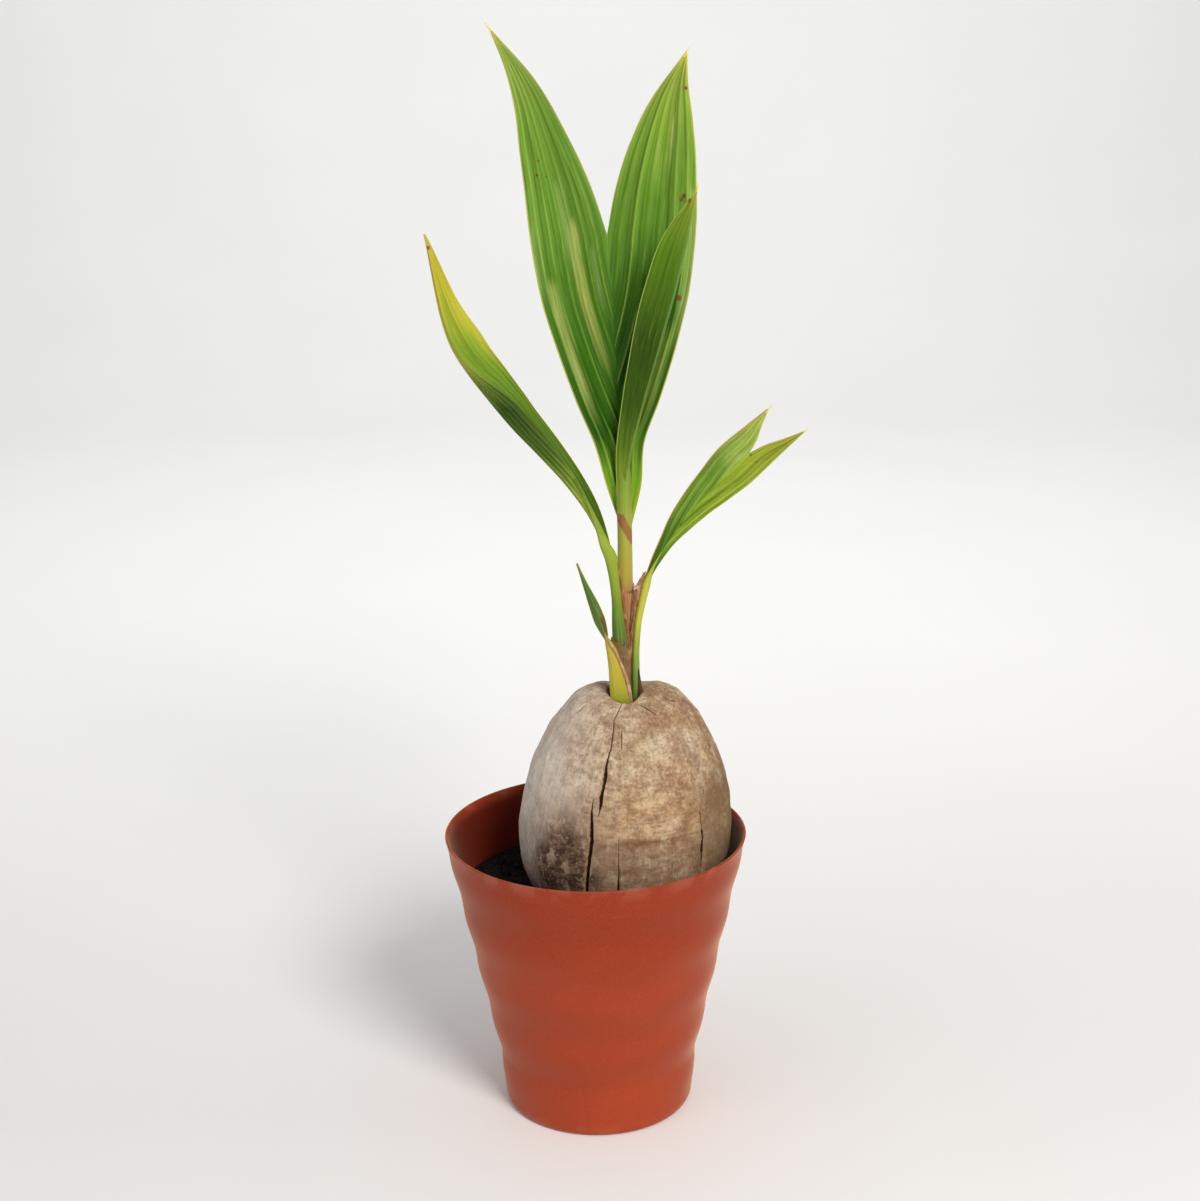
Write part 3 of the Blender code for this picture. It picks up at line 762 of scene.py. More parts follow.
def build_husk(settings):
    columns, rows = nut_rows(nut_stations())
    spans = len(columns[0]) - 1
    turns = nut_turns()
    bm = bmesh.new()
    grain_layer = bm.verts.layers.float_vector.new("grain")
    rings, crack_map, grain = [], [], []
    for t in rows:
        x, y, radius, height, rise, swell, squeeze = (smooth(column, t)
                                                      for column in columns)
        share = t * spans / EGG_SPANS
        live = [crack for crack in CRACKS if crack[-1][1] - 0.01 < share < crack[0][1] + 0.01]
        ring, cracks = [], []
        for turn in turns:
            ray = Vector((math.cos(turn), math.sin(turn), 0))
            # three low ridges run down the nut, and two lobes lift its crown
            swollen = radius * (1 + swell * math.cos(3 * (turn - math.pi / 2)))
            point = (Vector((x, y, height))
                     + swollen * Vector(((1 - squeeze) * ray.x, ray.y, 0))
                     + Vector((0, 0, NUT_LOBE_LIFT * rise * math.cos(2 * turn))))
            outward = (ray * max(0.1, math.sin(math.pi * min(share, 0.98)))
                       + Vector((0, 0, -math.cos(math.pi * min(share, 0.98))))).normalized()
            push = 0.0
            nearest = NO_CRACK
            if share < 1.0:
                push = husk_relief(turn, height, point, settings.fibre_depth)
                push += husk_flap(turn, height)
                push *= ease((1.0 - share) / SKIN_FADE)
            for crack in live:
                offset, half = crack_at(crack, turn, share, radius)
                if abs(offset) - half < abs(nearest[0]) - nearest[1]:
                    nearest = (offset, half)
            offset, half = nearest
            if half > 0:
                depth = min(1.0, half) * settings.crack_depth
                push -= depth * ease(1.25 - 0.75 * abs(offset) / (half + 0.35))
                push += CRACK_LIP * min(1.0, half) * ease(1 - abs(abs(offset) - half - 1.0))
            ring.append(point + push * outward)
            cracks.append(nearest)
            grain.append(Vector((*ray.xy, share)))
        rings.append(ring)
        crack_map.append(cracks)

    def crack_pair(row, column):
        """Crack numbers of a corner, kept clear of jumps between two cracks."""
        offset, half = crack_map[row][column % len(turns)]
        return (max(-CRACK_REACH, min(CRACK_REACH, offset)), max(-1.0, half))

    loops = skin(bm, rings, {"Cracks": crack_pair})
    for vertex, value in zip((v for loop in loops for v in loop), grain):
        vertex[grain_layer] = value
    layer = bm.loops.layers.uv["Cracks"]
    for face in bm.faces:
        offsets = [loop[layer].uv.x for loop in face.loops]
        if max(offsets) - min(offsets) > CRACK_REACH or len(offsets) > 4:
            for loop in face.loops:
                loop[layer].uv = NO_CRACK
    return mesh_object("fibrous_husk", bm)


def husk_finish(settings):
    """Weathered coconut husk: bleached left, tan right, streaked, stained and cracked."""
    finish = Finish("weathered_husk", Roughness=0.9, Specular_IOR_Level=0.2)
    fade, lay, place = finish.fade, finish.lay, finish.place()
    x, _, height = finish.axes(place)
    grain = finish.node("ShaderNodeAttribute", {"attribute_name": "grain"}, output=1)

    def pattern(source, stretch, *numbers):
        """Noise on stretched coordinates: scale, detail and roughness."""
        return finish.noise(finish.stretch(source, *stretch), *numbers)

    long_streaks = pattern(grain, (13, 13, 5.0), 1.6, 5, 0.62)
    fine_streaks = pattern(grain, (60, 60, 12.0), 1.5, 4, 0.65)
    hairs = pattern(grain, (190, 190, 16.0), 1.4, 2, 0.6)
    dashes = pattern(grain, (60, 60, 34.0), 1.2, 4, 0.6)
    clouds = finish.noise(place, 34, 6, 0.66)
    blotches = pattern(place, (1, 1, 0.75), 95, 5, 0.7)
    scales = pattern(place, (0.5, 0.5, 1.3), 190, 4, 0.7)
    mottle = finish.noise(place, 420, 3, 0.65)
    worn = pattern(place, (1, 1, 0.8), 21, 4, 0.55)
    cloudy = clouds - 0.5
    across = x * 6.9 + 0.36 + cloudy * 0.5 + (long_streaks - 0.5) * 0.4
    finish.body = finish.ramp(across, (0.05, settings.pale), (0.25, 202, 186, 166),
                              (0.50, 178, 152, 118), (0.75, settings.tan),
                              (1.0, 154, 116, 72))
    # each stain grows as its pattern passes from one number to the other
    for signal, low, high, strength, *shade in (
            (worn, 0.48, 0.62, 0.40, 160, 128, 112),
            (worn, 0.48, 0.36, 0.45, 220, 206, 188),
            (long_streaks, 0.47, 0.67, 0.35, 146, 116, 92),
            (clouds, 0.47, 0.63, 0.50, 140, 108, 84),
            (clouds, 0.50, 0.34, 0.50, 220, 203, 172),
            (blotches, 0.46, 0.64, 0.48, 130, 94, 72),
            (blotches, 0.50, 0.36, 0.48, 220, 202, 170),
            (scales, 0.50, 0.66, 0.45, 118, 84, 60),
            (fine_streaks, 0.52, 0.70, 0.14, 118, 90, 72),
            (fine_streaks, 0.44, 0.30, 0.14, 222, 208, 188),
            (mottle, 0.52, 0.66, 0.40, 104, 74, 54),
            (mottle, 0.46, 0.34, 0.30, 224, 208, 180)):
        lay(fade(signal, low, high) * strength, *shade)
    # the bleached left flank, partly painted light, keeps little of the mottling
    flank = fade(x + cloudy * 0.05 - (height - 0.25) * 0.15, -0.002, -0.034)
    lay(flank * 0.56, settings.pale)
    # the warm band round the front, and the brown smear under it
    wavy = height + cloudy * 0.012 + (blotches - 0.5) * 0.006
    band = (fade(wavy, 0.2165, 0.2205) * fade(wavy, 0.258, 0.230)
            * fade(x, -0.010, 0.004) * fade(x, 0.090, 0.060))
    lay(band * fade(blotches, 0.60, 0.42) * 0.42, 194, 150, 100)
    shadow = fade(wavy, 0.262, 0.232) * fade(x, -0.008, 0.010)
    lay(shadow * fade(scales, 0.42, 0.60) * 0.52, 128, 92, 58)
    below = fade(wavy, 0.2185, 0.2150) * fade(x, -0.006, 0.006)
    lay(below * 0.24, 146, 118, 98)
    right_low = (fade(x + cloudy * 0.03, 0.052, 0.078)
                 * fade(height + cloudy * 0.03, 0.262, 0.236))
    lay(right_low * 0.65, 112, 86, 58)
    smear = (fade(abs(wavy - 0.2165), 0.0048, 0.0) * fade(x, -0.004, 0.008)
             * fade(x, 0.066, 0.050))
    lay(smear * fade(blotches, 0.36, 0.54) * 0.75, 120, 74, 46)
    # dark dashes low on the front, and the dark stain at the lower left
    lay(fade(height, 0.226, 0.206) * fade(dashes, 0.55, 0.66) * 0.45, 98, 70, 54)
    reach = finish.distance(finish.stretch(place, 1, 1, 0.8), (-0.019, -0.055, 0.8 * 0.196))
    lay(fade(reach + cloudy * 0.08, 0.052, 0.020) * 0.60, 136, 105, 82)
    dirt = fade(reach + (worn - 0.5) * 0.08 + (blotches - 0.5) * 0.03, 0.036, 0.018)
    lay(dirt * fade(blotches, 0.38, 0.50) * 0.90, 60, 35, 23)
    lay(dirt * fade(scales, 0.52, 0.42) * 0.45, 150, 119, 92)
    lay(dirt * fade(mottle, 0.58, 0.66) * 0.5, 192, 170, 138)
    # painted shade low down by the soil, then pale loose hairs over everything
    lay(fade(height + cloudy * 0.06, 0.186, 0.164) * 0.45, 104, 84, 70)
    lay(fade(hairs, 0.60, 0.72) * 0.08, 226, 212, 190)
    # cracks: pale torn lips, and painted shade in their dark inside
    offset, half = finish.map("Cracks")
    fray = (mottle - 0.5) * fade(half, 0.1, 0.7) * 0.8
    ragged = abs(offset + fray) - half
    lay(fade(ragged, 1.5, 0.3) * fade(half, 0.3, 0.9) * 0.45, 196, 152, 112)
    lay(fade(ragged, 0.26, 0.0) * fade(half, 0.0, 0.06) * 0.95, 30, 19, 14)
    # painted shade: the pit's wall darkens downward
    from_pit = finish.distance(finish.stretch(place, 1, 1, 0), (*PIT_CENTRE, 0.0))
    lay(fade(height, PIT_RIM - 0.001, PIT_RIM - 0.007) * fade(from_pit, 0.0200, 0.0182)
        * 0.85, 58, 40, 30)
    rough = finish.bump(fine_streaks + hairs * 0.5, 0.0006, 0.30)
    return finish.done(0.80 + clouds * 0.2,
                       finish.bump(blotches + mottle * 0.5, 0.0013, 0.6, below=rough))


class COCONUT_OT_husk(bpy.types.Operator):
    """Build the coconut in its cracked, fibrous husk"""
    bl_idname = "coconut.husk"
    bl_label = "Husk"

    def execute(self, context):
        settings = context.scene.coconut_husk
        hand_over(build_husk(settings), husk_finish(settings), "dry_husk", "coconut_husk",
                  sharp_above=70)
        return {'FINISHED'}


# ---------------------------------------------------------------- stem, stalks and sheaths

STEM_CENTRE = Vector((0.0220, 0.0060))
STALK_RIDGE = 0.00012                # height of the fine ridges on a stalk
FIBRE_GREEN = (80, 106, 32)


def stalk_object(name, stations, sides, rows, channel=0.0):
    """Stalk of oval section with fine ridges and, if asked, a channel down its front.

    A station is (point, half width, half depth).
    """
    path, half_widths, half_depths = zip(*stations)
    path = vectors(path)
    bm = bmesh.new()
    rings = []
    for row in range(rows + 1):
        v = row / rows
        centre, side, out = frame_at(path, v)
        wide, deep = smooth(half_widths, v), smooth(half_depths, v)
        grain = STALK_RIDGE * min(1.0, wide / 0.003)
        ring = []
        for a in angles_round(sides):
            relief = grain * noise.noise(Vector((9 * math.cos(a), 9 * math.sin(a), 4 * v)))
            dip = channel * max(0.0, math.sin(a)) ** 6 * ease(v * 2)
            ring.append(centre + (wide + relief) * math.cos(a) * side
                        + (deep + relief - dip) * math.sin(a) * out)
        rings.append(ring)
    for point in rings[0]:
        point.z = path[0].z
    skin(bm, rings, {"Ribs": lambda r, c: (c / sides, r / rows)})
    return mesh_object(name, bm)


def on_blade(path, stalk_share, sizes, shift):
    """Stations that carry a stalk on up its blade's midline and let it run out."""
    return [(smooth(path, stalk_share + (1 - stalk_share) * v) + Vector(shift), wide, deep)
            for v, wide, deep in sizes]


def stalk_finish(name, stops, grain_tone=FIBRE_GREEN, scar=None):
    """Fresh stalk: colours up its height, fine stripes and, on the stem, a slanting scar."""
    finish = Finish(name, Roughness=0.42, Specular_IOR_Level=0.35)
    fade, place = finish.fade, finish.place()
    x, y, height = finish.axes(place)
    around, _ = finish.map("Ribs")
    low, high = stops[0][0], stops[-1][0]
    share = (height - low) * (1 / (high - low))
    blur = finish.noise(place, 60, 3)
    finish.body = finish.ramp(share + (blur - 0.5) * 0.14,
                              *[((z - low) / (high - low), *shade) for z, *shade in stops])
    stripes = finish.noise(finish.vector(around * 24, height * 10), 1.0, 4, 0.6)
    finish.lay(fade(stripes, 0.48, 0.68) * 0.30, *grain_tone)
    finish.lay(fade(stripes, 0.46, 0.30) * 0.22, 200, 196, 104)
    if scar:
        ragged = (finish.noise(finish.stretch(place, 1, 1, 0.5), 500, 3, 0.7) - 0.5) * 0.004
        inside = (fade(height + x * 1.74 + ragged, 0.4476, 0.4490)
                  * fade(height + x * 2.4 + ragged, 0.4762, 0.4744)
                  * fade(height + ragged, 0.4236, 0.4226) * fade(y, 0.009, 0.006))
        worn = finish.noise(finish.stretch(place, 1, 1, 0.3), 700, 3, 0.6)
        finish.lay(inside * (0.55 + worn * 0.7), *scar)
    return finish.done(0.36 + stripes * 0.16, finish.bump(stripes, 0.0003, 0.5))


# Dry papery finishes: base, dark and pale.
DRY_SHADES = {
    "russet_paper": ((190, 138, 92), (118, 70, 42), (216, 178, 130)),
    "tan_fibre": ((134, 104, 66), (82, 58, 34), (176, 148, 104)),
    "red_brown_paper": ((148, 92, 54), (98, 54, 32), (186, 136, 88)),
    "pink_brown_paper": ((182, 138, 104), (136, 92, 68), (208, 180, 140)),
    "dark_fibre": ((92, 62, 42), (46, 30, 22), (132, 98, 68)),
    "pale_fluff_fibre": ((226, 214, 192), (188, 164, 130), (240, 234, 220)),
}


def dry_finish(name):
    """Dry papery fibre: long streaks between dark and pale."""
    base, dark, pale = DRY_SHADES[name]
    finish = Finish(name, Roughness=0.85, Specular_IOR_Level=0.25)
    place = finish.place()
    streaks = finish.noise(finish.stretch(place, 1, 1, 0.08), 1500, 4, 0.65)
    cloud = finish.noise(place, 120, 3)
    finish.body = finish.mix(0.4 + finish.fade(streaks, 0.34, 0.62) * 0.6, tint(*dark),
                             tint(*base))
    finish.lay(finish.fade(cloud, 0.50, 0.66) * 0.6, *pale)
    return finish.done(0.72 + cloud * 0.25, finish.bump(streaks, 0.0004, 0.55))


class COCONUT_OT_stem(bpy.types.Operator):
    """Build the upright stem that carries the two tallest leaves"""
    bl_idname = "coconut.stem"
    bl_label = "Stem"

    def execute(self, context):
        stem = stalk_object("centre_stalk", [
            ((*STEM_CENTRE, PLANT_FOOT), 0.0055, 0.0055),
            ((*STEM_CENTRE, 0.320), 0.0054, 0.0054),
            ((0.0221, 0.0060, 0.352), 0.0053, 0.0053),
            ((0.0222, 0.0060, 0.384), 0.0051, 0.0051),
            ((0.0222, 0.0060, 0.408), 0.0049, 0.0050),
            ((0.0221, 0.0060, 0.4245), 0.0050, 0.0050),
            ((0.0222, 0.0062, 0.436), 0.0049, 0.0047),
            ((0.0226, 0.0066, 0.446), 0.0042, 0.0038),
            ((0.0231, 0.0068, 0.456), 0.0030, 0.0026),
            ((0.0236, 0.0068, 0.467), 0.0016, 0.0014),
            ((0.0240, 0.0066, 0.476), 0.0005, 0.0005)], 48, 200)
        hand_over(stem, stalk_finish("stem_skin", (
            (0.286, 120, 100, 50), (0.335, 150, 106, 62), (0.368, 172, 128, 76),
            (0.382, 174, 158, 58), (0.412, 160, 164, 56), (0.430, 136, 156, 50),
            (0.456, 112, 136, 40), (0.476, 94, 120, 32)),
            scar=(146, 90, 48)), "stem_green", "centre_stem")
        return {'FINISHED'}


SLEEVE_RADIUS, SLEEVE_TOP = 0.0064, 0.3715
SLEEVE_TEAR, SLEEVE_TEAR_TURN = 0.0035, math.radians(45)
PAPER_THICKNESS = 0.0005
TEAR_DEPTHS = ((0.0036, 3.3), (0.0006, 17))     # depth and fineness of a rim's tears
MEMBRANE_ROWS, MEMBRANE_COLUMNS = 90, 16
MEMBRANE_SAG, MEMBRANE_CRUMPLE = 0.0014, (0.0011, 0.0006)
CRIMP_DEPTH, CRIMP_TURN, CRIMP_HEIGHT = 0.07, 9, 22
WRAP_CENTRE, WRAP_HALF_WIDTH, WRAP_HALF_DEPTH = Vector((0.0189, -0.0056)), 0.0064, 0.0046
WRAP_TOP, WRAP_TILT = 0.3378, 0.0026
WISP_STEPS = 7

# Rows of a torn membrane between the stem and the right stalk: left end, right end.
MEMBRANE = (((0.0243, -0.0030, 0.3290), (0.0262, -0.0040, 0.3290)),
            ((0.0247, -0.0020, 0.3420), (0.0276, -0.0044, 0.3420)),
            ((0.0258, -0.0010, 0.3540), (0.0300, -0.0050, 0.3540)),
            ((0.0266, 0.0000, 0.3650), (0.0318, -0.0056, 0.3655)),
            ((0.0276, -0.0006, 0.3722), (0.0335, -0.0062, 0.3740)),
            ((0.0312, -0.0040, 0.3790), (0.0346, -0.0068, 0.3812)),
            ((0.0345, -0.0070, 0.3856), (0.0356, -0.0076, 0.3866)))

# Dry strips that cross the stalks: name, finish, points, radii, steps, sides and flatness.
DRY_STRIPS = (
    ("dry_margin", "red_brown_paper",
     ((0.0174, -0.0100, 0.3940), (0.0188, -0.0094, 0.3810), (0.0205, -0.0090, 0.3670),
      (0.0223, -0.0084, 0.3530), (0.0239, -0.0076, 0.3400), (0.0247, -0.0060, 0.3270)),
     (0.0003, 0.0007, 0.0009, 0.0010, 0.0011, 0.0009), 30, 8, 0.45),
    ("rolled_margin", "pink_brown_paper",
     ((0.0098, -0.0178, 0.3440), (0.0128, -0.0172, 0.3375), (0.0166, -0.0162, 0.3300),
      (0.0200, -0.0154, 0.3215), (0.0226, -0.0148, 0.3130), (0.0244, -0.0140, 0.3040),
      (0.0254, -0.0128, 0.2950)),
     (0.0003, 0.0007, 0.0009, 0.0011, 0.0012, 0.0011), 40, 10, 0.6),
)
# Upright scales right of the stem: how far each stands to the right, and its top.
RIGHT_SCALES = ((0.0, 0.3185), (0.0012, 0.3130), (-0.0008, 0.3060), (0.0020, 0.3050),
                (0.0006, 0.3090))


def torn_tube(name, centre, half_width, half_depth, foot, edge, sides, rows, seed):
    """Open papery tube, oval in section, whose rim height is a function of the turn."""
    rings = []
    for row in range(rows + 1):
        ring = []
        for a in angles_round(sides):
            ray = Vector((math.cos(a), math.sin(a), 0))
            jag = sum(depth * noise.noise(ray * fineness + Vector((0, 0, seed)))
                      for depth, fineness in TEAR_DEPTHS)
            height = foot + (edge(a) + jag - foot) * row / rows
            crimp = 1 + CRIMP_DEPTH * noise.noise(
                ray * CRIMP_TURN + Vector((0, 0, height * CRIMP_HEIGHT + seed)))
            ring.append(Vector((centre.x + half_width * crimp * ray.x,
                                centre.y + half_depth * crimp * ray.y, height)))
        rings.append(ring)
    bm = bmesh.new()
    skin(bm, rings, caps=False)
    tube = mesh_object(name, bm)
    apply_modifier(tube, 'SOLIDIFY', thickness=PAPER_THICKNESS, offset=0.0)
    return tube


def build_membrane():
    """Crumpled sheet between the stem and the right stalk, with a sliver up the stalk."""
    left, right = map(vectors, zip(*MEMBRANE))
    bm = bmesh.new()
    rings = []
    for row in range(MEMBRANE_ROWS + 1):
        v = row / MEMBRANE_ROWS
        ring = []
        for j in range(MEMBRANE_COLUMNS + 1):
            u = j / MEMBRANE_COLUMNS
            point = smooth(left, v).lerp(smooth(right, v), u)
            point.y -= MEMBRANE_SAG * math.sin(math.pi * u)
            point.y += MEMBRANE_CRUMPLE[0] * noise.noise(Vector((u * 5, v * 9, 3)))
            point.x += MEMBRANE_CRUMPLE[1] * noise.noise(Vector((v * 26, 2 * u, 9)))
            ring.append(point)
        rings.append(ring)
    skin(bm, rings, closed=False)
    membrane = mesh_object("membrane", bm)
    apply_modifier(membrane, 'SOLIDIFY', thickness=PAPER_THICKNESS, offset=0.0)
    return membrane


def wisps(name, seed, count, foot, spread, reach, radius, wander):
    """Loose fibres that rise from round a foot and curl, as one object."""
    draw = random.Random(seed)
    bm = bmesh.new()
    for _ in range(count):
        turn, far = draw.uniform(0, 2 * math.pi), draw.uniform(0.6, 1.0)
        start = foot + Vector((spread[0] * far * math.cos(turn),
                               spread[1] * far * math.sin(turn), spread[2] * draw.random()))
        heading = Vector((math.cos(turn) * draw.uniform(-0.2, 0.35),
                          math.sin(turn) * draw.uniform(-0.2, 0.35), 1.0))
        points, step = [start], reach * draw.uniform(0.5, 1.0) / WISP_STEPS
        for _ in range(WISP_STEPS):
            heading += wander * Vector([draw.uniform(-1, 1) for _ in range(3)])
            points.append(points[-1] + step * heading.normalized())
        thick = radius * draw.uniform(0.6, 1.2)
        strand(bm, points, [thick, thick * 0.8, thick * 0.25], sides=5)
    return mesh_object(name, bm)


def curved_strand(bm, points, radii, steps, sides, flatten):
    """Strand along the smooth curve through a few points."""
    line = vectors(points)
    strand(bm, [smooth(line, k / steps) for k in range(steps + 1)], radii, sides,
           flatten=flatten)


class COCONUT_OT_sheaths(bpy.types.Operator):
    """Build the torn papery sleeve, the dry strips and the loose fibres at the stem's foot"""
    bl_idname = "coconut.sheaths"
    bl_label = "Dry Sheaths"

    def execute(self, context):
        sleeve = torn_tube(
            "papery_sleeve", STEM_CENTRE, SLEEVE_RADIUS, SLEEVE_RADIUS, PLANT_FOOT,
            lambda a: SLEEVE_TOP + SLEEVE_TEAR * math.cos(2 * (a - SLEEVE_TEAR_TURN)),
            110, 70, 0.0)
        hand_over(join(sleeve, build_membrane()), dry_finish("russet_paper"), "dry_fibre",
                  "dry_sheath")
        wrap = torn_tube("foot_wrap", WRAP_CENTRE, WRAP_HALF_WIDTH, WRAP_HALF_DEPTH,
                         PLANT_FOOT, lambda a: WRAP_TOP - WRAP_TILT * math.cos(a),
                         100, 60, 5.0)
        hand_over(wrap, dry_finish("tan_fibre"), "dry_fibre")
        for name, paper, *shape in DRY_STRIPS:
            bm = bmesh.new()
            curved_strand(bm, *shape)
            hand_over(mesh_object(name, bm), dry_finish(paper), "dry_fibre")
        scales = wisps("foot_scales", 5, 60, Vector((0.0228, -0.0030, 0.2868)),
                       (0.0100, 0.0080, 0.003), 0.013, 0.00045, 0.12)
        bm = bmesh.new()
        for shift, top in RIGHT_SCALES:
            curved_strand(bm, ((0.0300 + shift, -0.0064, 0.2865),
                               (0.0316 + shift, -0.0070, 0.2950),
                               (0.0312 + 0.6 * shift, -0.0070, 0.5 * (0.2950 + top)),
                               (0.0303 + 0.3 * shift, -0.0066, top)),
                          (0.0014, 0.0018, 0.0013, 0.0004), 16, 8, 0.5)
        hand_over(join(scales, mesh_object("right_scales", bm)), dry_finish("dark_fibre"),
                  "dry_fibre")
        hand_over(wisps("pale_fluff", 3, 34, Vector((0.0294, -0.0052, 0.3728)),
                        (0.0016, 0.0010, 0.002), 0.0042, 0.00016, 0.60),
                  dry_finish("pale_fluff_fibre"), "dry_fibre")
        return {'FINISHED'}


# ---------------------------------------------------------------- leaves

BASE_FOLD_END = 0.25                 # share of the blade where its base fold has opened
PLEAT_UNEVENNESS = 0.7
PLEAT_SHARPNESS = 0.22               # of a second wave, twice as fine
PLEAT_LIMIT = 0.24                   # highest pleat as a share of the space between ribs
FLAT_BY_MIDRIB = 0.003               # the pleats grow to full height over this distance
CUP = 0.02                           # how far a half's outer edge drops, as a share
FLUTTER = 0.0011                     # waviness of the margins
EDGE_UNITS = 100                     # distances to the edges are kept in centimetres
THREAD_RADII, THREAD_STEPS, THREAD_SAG = (0.0005, 0.0004, 0.0002), 8, 0.08


class Blade:
    """One leaf blade: a midline, two folded halves, pleats and, if it forks, a sinus.

    Half widths are evenly spaced values from the base to the tip, and gap widths evenly
    spaced values from the sinus to the tip. A half's reach is how far up the midline its
    tip lies. The leaf's path may begin with a stalk, and the blade then starts past it.
    """

    def __init__(self, name, path, left, right, fold, ribs, rows, columns, stalk_spans=0,
                 lift=0.0, base_fold=None, turn=(0.0, 0.0), relief=1.0, spread=0.6,
                 sinus=None, left_gap=None, right_gap=None, left_reach=1.0,
                 right_reach=1.0, seed=0.0):
        self.name, self.path = name, vectors(path)
        self.ribs, self.rows, self.columns = ribs, rows, columns
        self.fold = math.radians(fold)
        self.base_fold = self.fold if base_fold is None else math.radians(base_fold)
        self.turn = [math.radians(angle) for angle in turn]
        self.relief, self.seed = relief, seed
        self.sinus, self.spread = sinus, sinus or spread
        self.halves = ((-1, left, left_gap, left_reach), (1, right, right_gap, right_reach))
        span = sum((b - a).length for a, b in zip(self.path, self.path[1:]))
        self.start = stalk_spans / (len(path) - 1) + lift / span

    def midline_share(self, v, reach):
        if self.sinus is not None and v > self.sinus:
            v = self.sinus + (v - self.sinus) * (reach - self.sinus) / (1 - self.sinus)
        return self.start + v * (1 - self.start)

    def rib_number(self, widths, v, u):
        """Ribs lie at whole numbers. They leave the midrib one after another."""
        grown = 1.0 if v >= self.spread else smooth(widths, v) / smooth(widths, self.spread)
        return (self.ribs - 0.3) * (1 - (1 - u) * min(1.0, grown))

    def point(self, half, v, u, pleat_depth):
        """Place on the blade, with its rib number and distances to margin and midrib."""
        sign, widths, gaps, reach = half
        centre, side, out = frame_at(self.path, self.midline_share(v, reach),
                                     smooth(self.turn, v))
        fold = self.base_fold + (self.fold - self.base_fold) * ease(v / BASE_FOLD_END)
        outward = sign * math.cos(fold) * side - math.sin(fold) * out
        normal = sign * math.sin(fold) * side + math.cos(fold) * out
        outer = smooth(widths, v)
        inner = 0.0
        if gaps and v > self.sinus:
            inner = max(0.0, smooth(gaps, (v - self.sinus) / (1 - self.sinus)))
        span = max(0.0, outer - inner)
        rib = self.rib_number(widths, v, u)
        inset = inner + span * u
        pitch = smooth(widths, self.spread) / self.ribs if v < self.spread else span / self.ribs
        uneven = 1 + PLEAT_UNEVENNESS * noise.noise(
            Vector((math.floor(rib + 0.5) * 1.7 + 9 * sign, 5 * v, self.seed)))
        wave = math.cos(2 * math.pi * rib) + PLEAT_SHARPNESS * math.cos(4 * math.pi * rib)
        ripple = (min(self.relief * pleat_depth * uneven, PLEAT_LIMIT * pitch) * wave
                  * ease(span * u / FLAT_BY_MIDRIB) * ease((v + 0.02) / 0.08))
        cup = -CUP * span * u * u
        flutter = (FLUTTER * self.relief * u * u * ease(v * 3) * ease(span / 0.02)
                   * noise.noise(Vector((v * 11, sign * 3.0, self.seed + 5))))
        return (centre + inset * outward + (ripple + cup + flutter) * normal,
                sign * rib, span * (1 - u) * EDGE_UNITS, span * u * EDGE_UNITS)

    def build(self, settings, threads=()):
        """Blade of the set thickness, with a fine thread at each pointed tip."""
        bm = bmesh.new()
        ribs, edges = (bm.loops.layers.uv.new(name) for name in ("Ribs", "Edges"))
        values = [row / self.rows for row in range(self.rows + 1)]
        if self.sinus is not None:
            nearest = min(range(1, self.rows), key=lambda k: abs(values[k] - self.sinus))
            values[nearest] = self.sinus
        shared = [None] * len(values)
        for half in self.halves:
            grid = []
            for k, v in enumerate(values):
                row = []
                for j in range(self.columns + 1):
                    place, rib, margin, inner = self.point(half, v, j / self.columns,
                                                           settings.pleat_depth)
                    joined = j == 0 and (self.sinus is None or v <= self.sinus)
                    vertex = shared[k] if joined and shared[k] else bm.verts.new(place)
                    if joined:
                        shared[k] = vertex
                    row.append((vertex, (rib, v), (margin, inner)))
                grid.append(row)
            for low, high in zip(grid, grid[1:]):
                for j in range(self.columns):
                    corners = (low[j], low[j + 1], high[j + 1], high[j])
                    face = bm.faces.new([corner[0] for corner in corners])
                    for loop, corner in zip(face.loops, corners):
                        loop[ribs].uv, loop[edges].uv = corner[1:]
        blade = mesh_object(self.name, bm)
        apply_modifier(blade, 'SOLIDIFY', thickness=settings.thickness, offset=0.0,
                       use_even_offset=False)
        if threads:
            join(blade, self.threads(threads))
        return blade

    def threads(self, ends):
        """Hair-fine threads, each from a tip to a loose end."""
        bm = bmesh.new()
        for start, end in ends:
            start, end = Vector(start), Vector(end)
            sag = Vector((0, 0, -THREAD_SAG * (end - start).length))
            shares = [k / THREAD_STEPS for k in range(THREAD_STEPS + 1)]
            points = [start.lerp(end, t) + sag * math.sin(math.pi * t) for t in shares]
            strand(bm, points, THREAD_RADII, 6,
                   {"Ribs": lambda r, c: (0.5, 1.2), "Edges": lambda r, c: (0.0, 0.3)})
        return mesh_object(self.name + "_threads", bm)


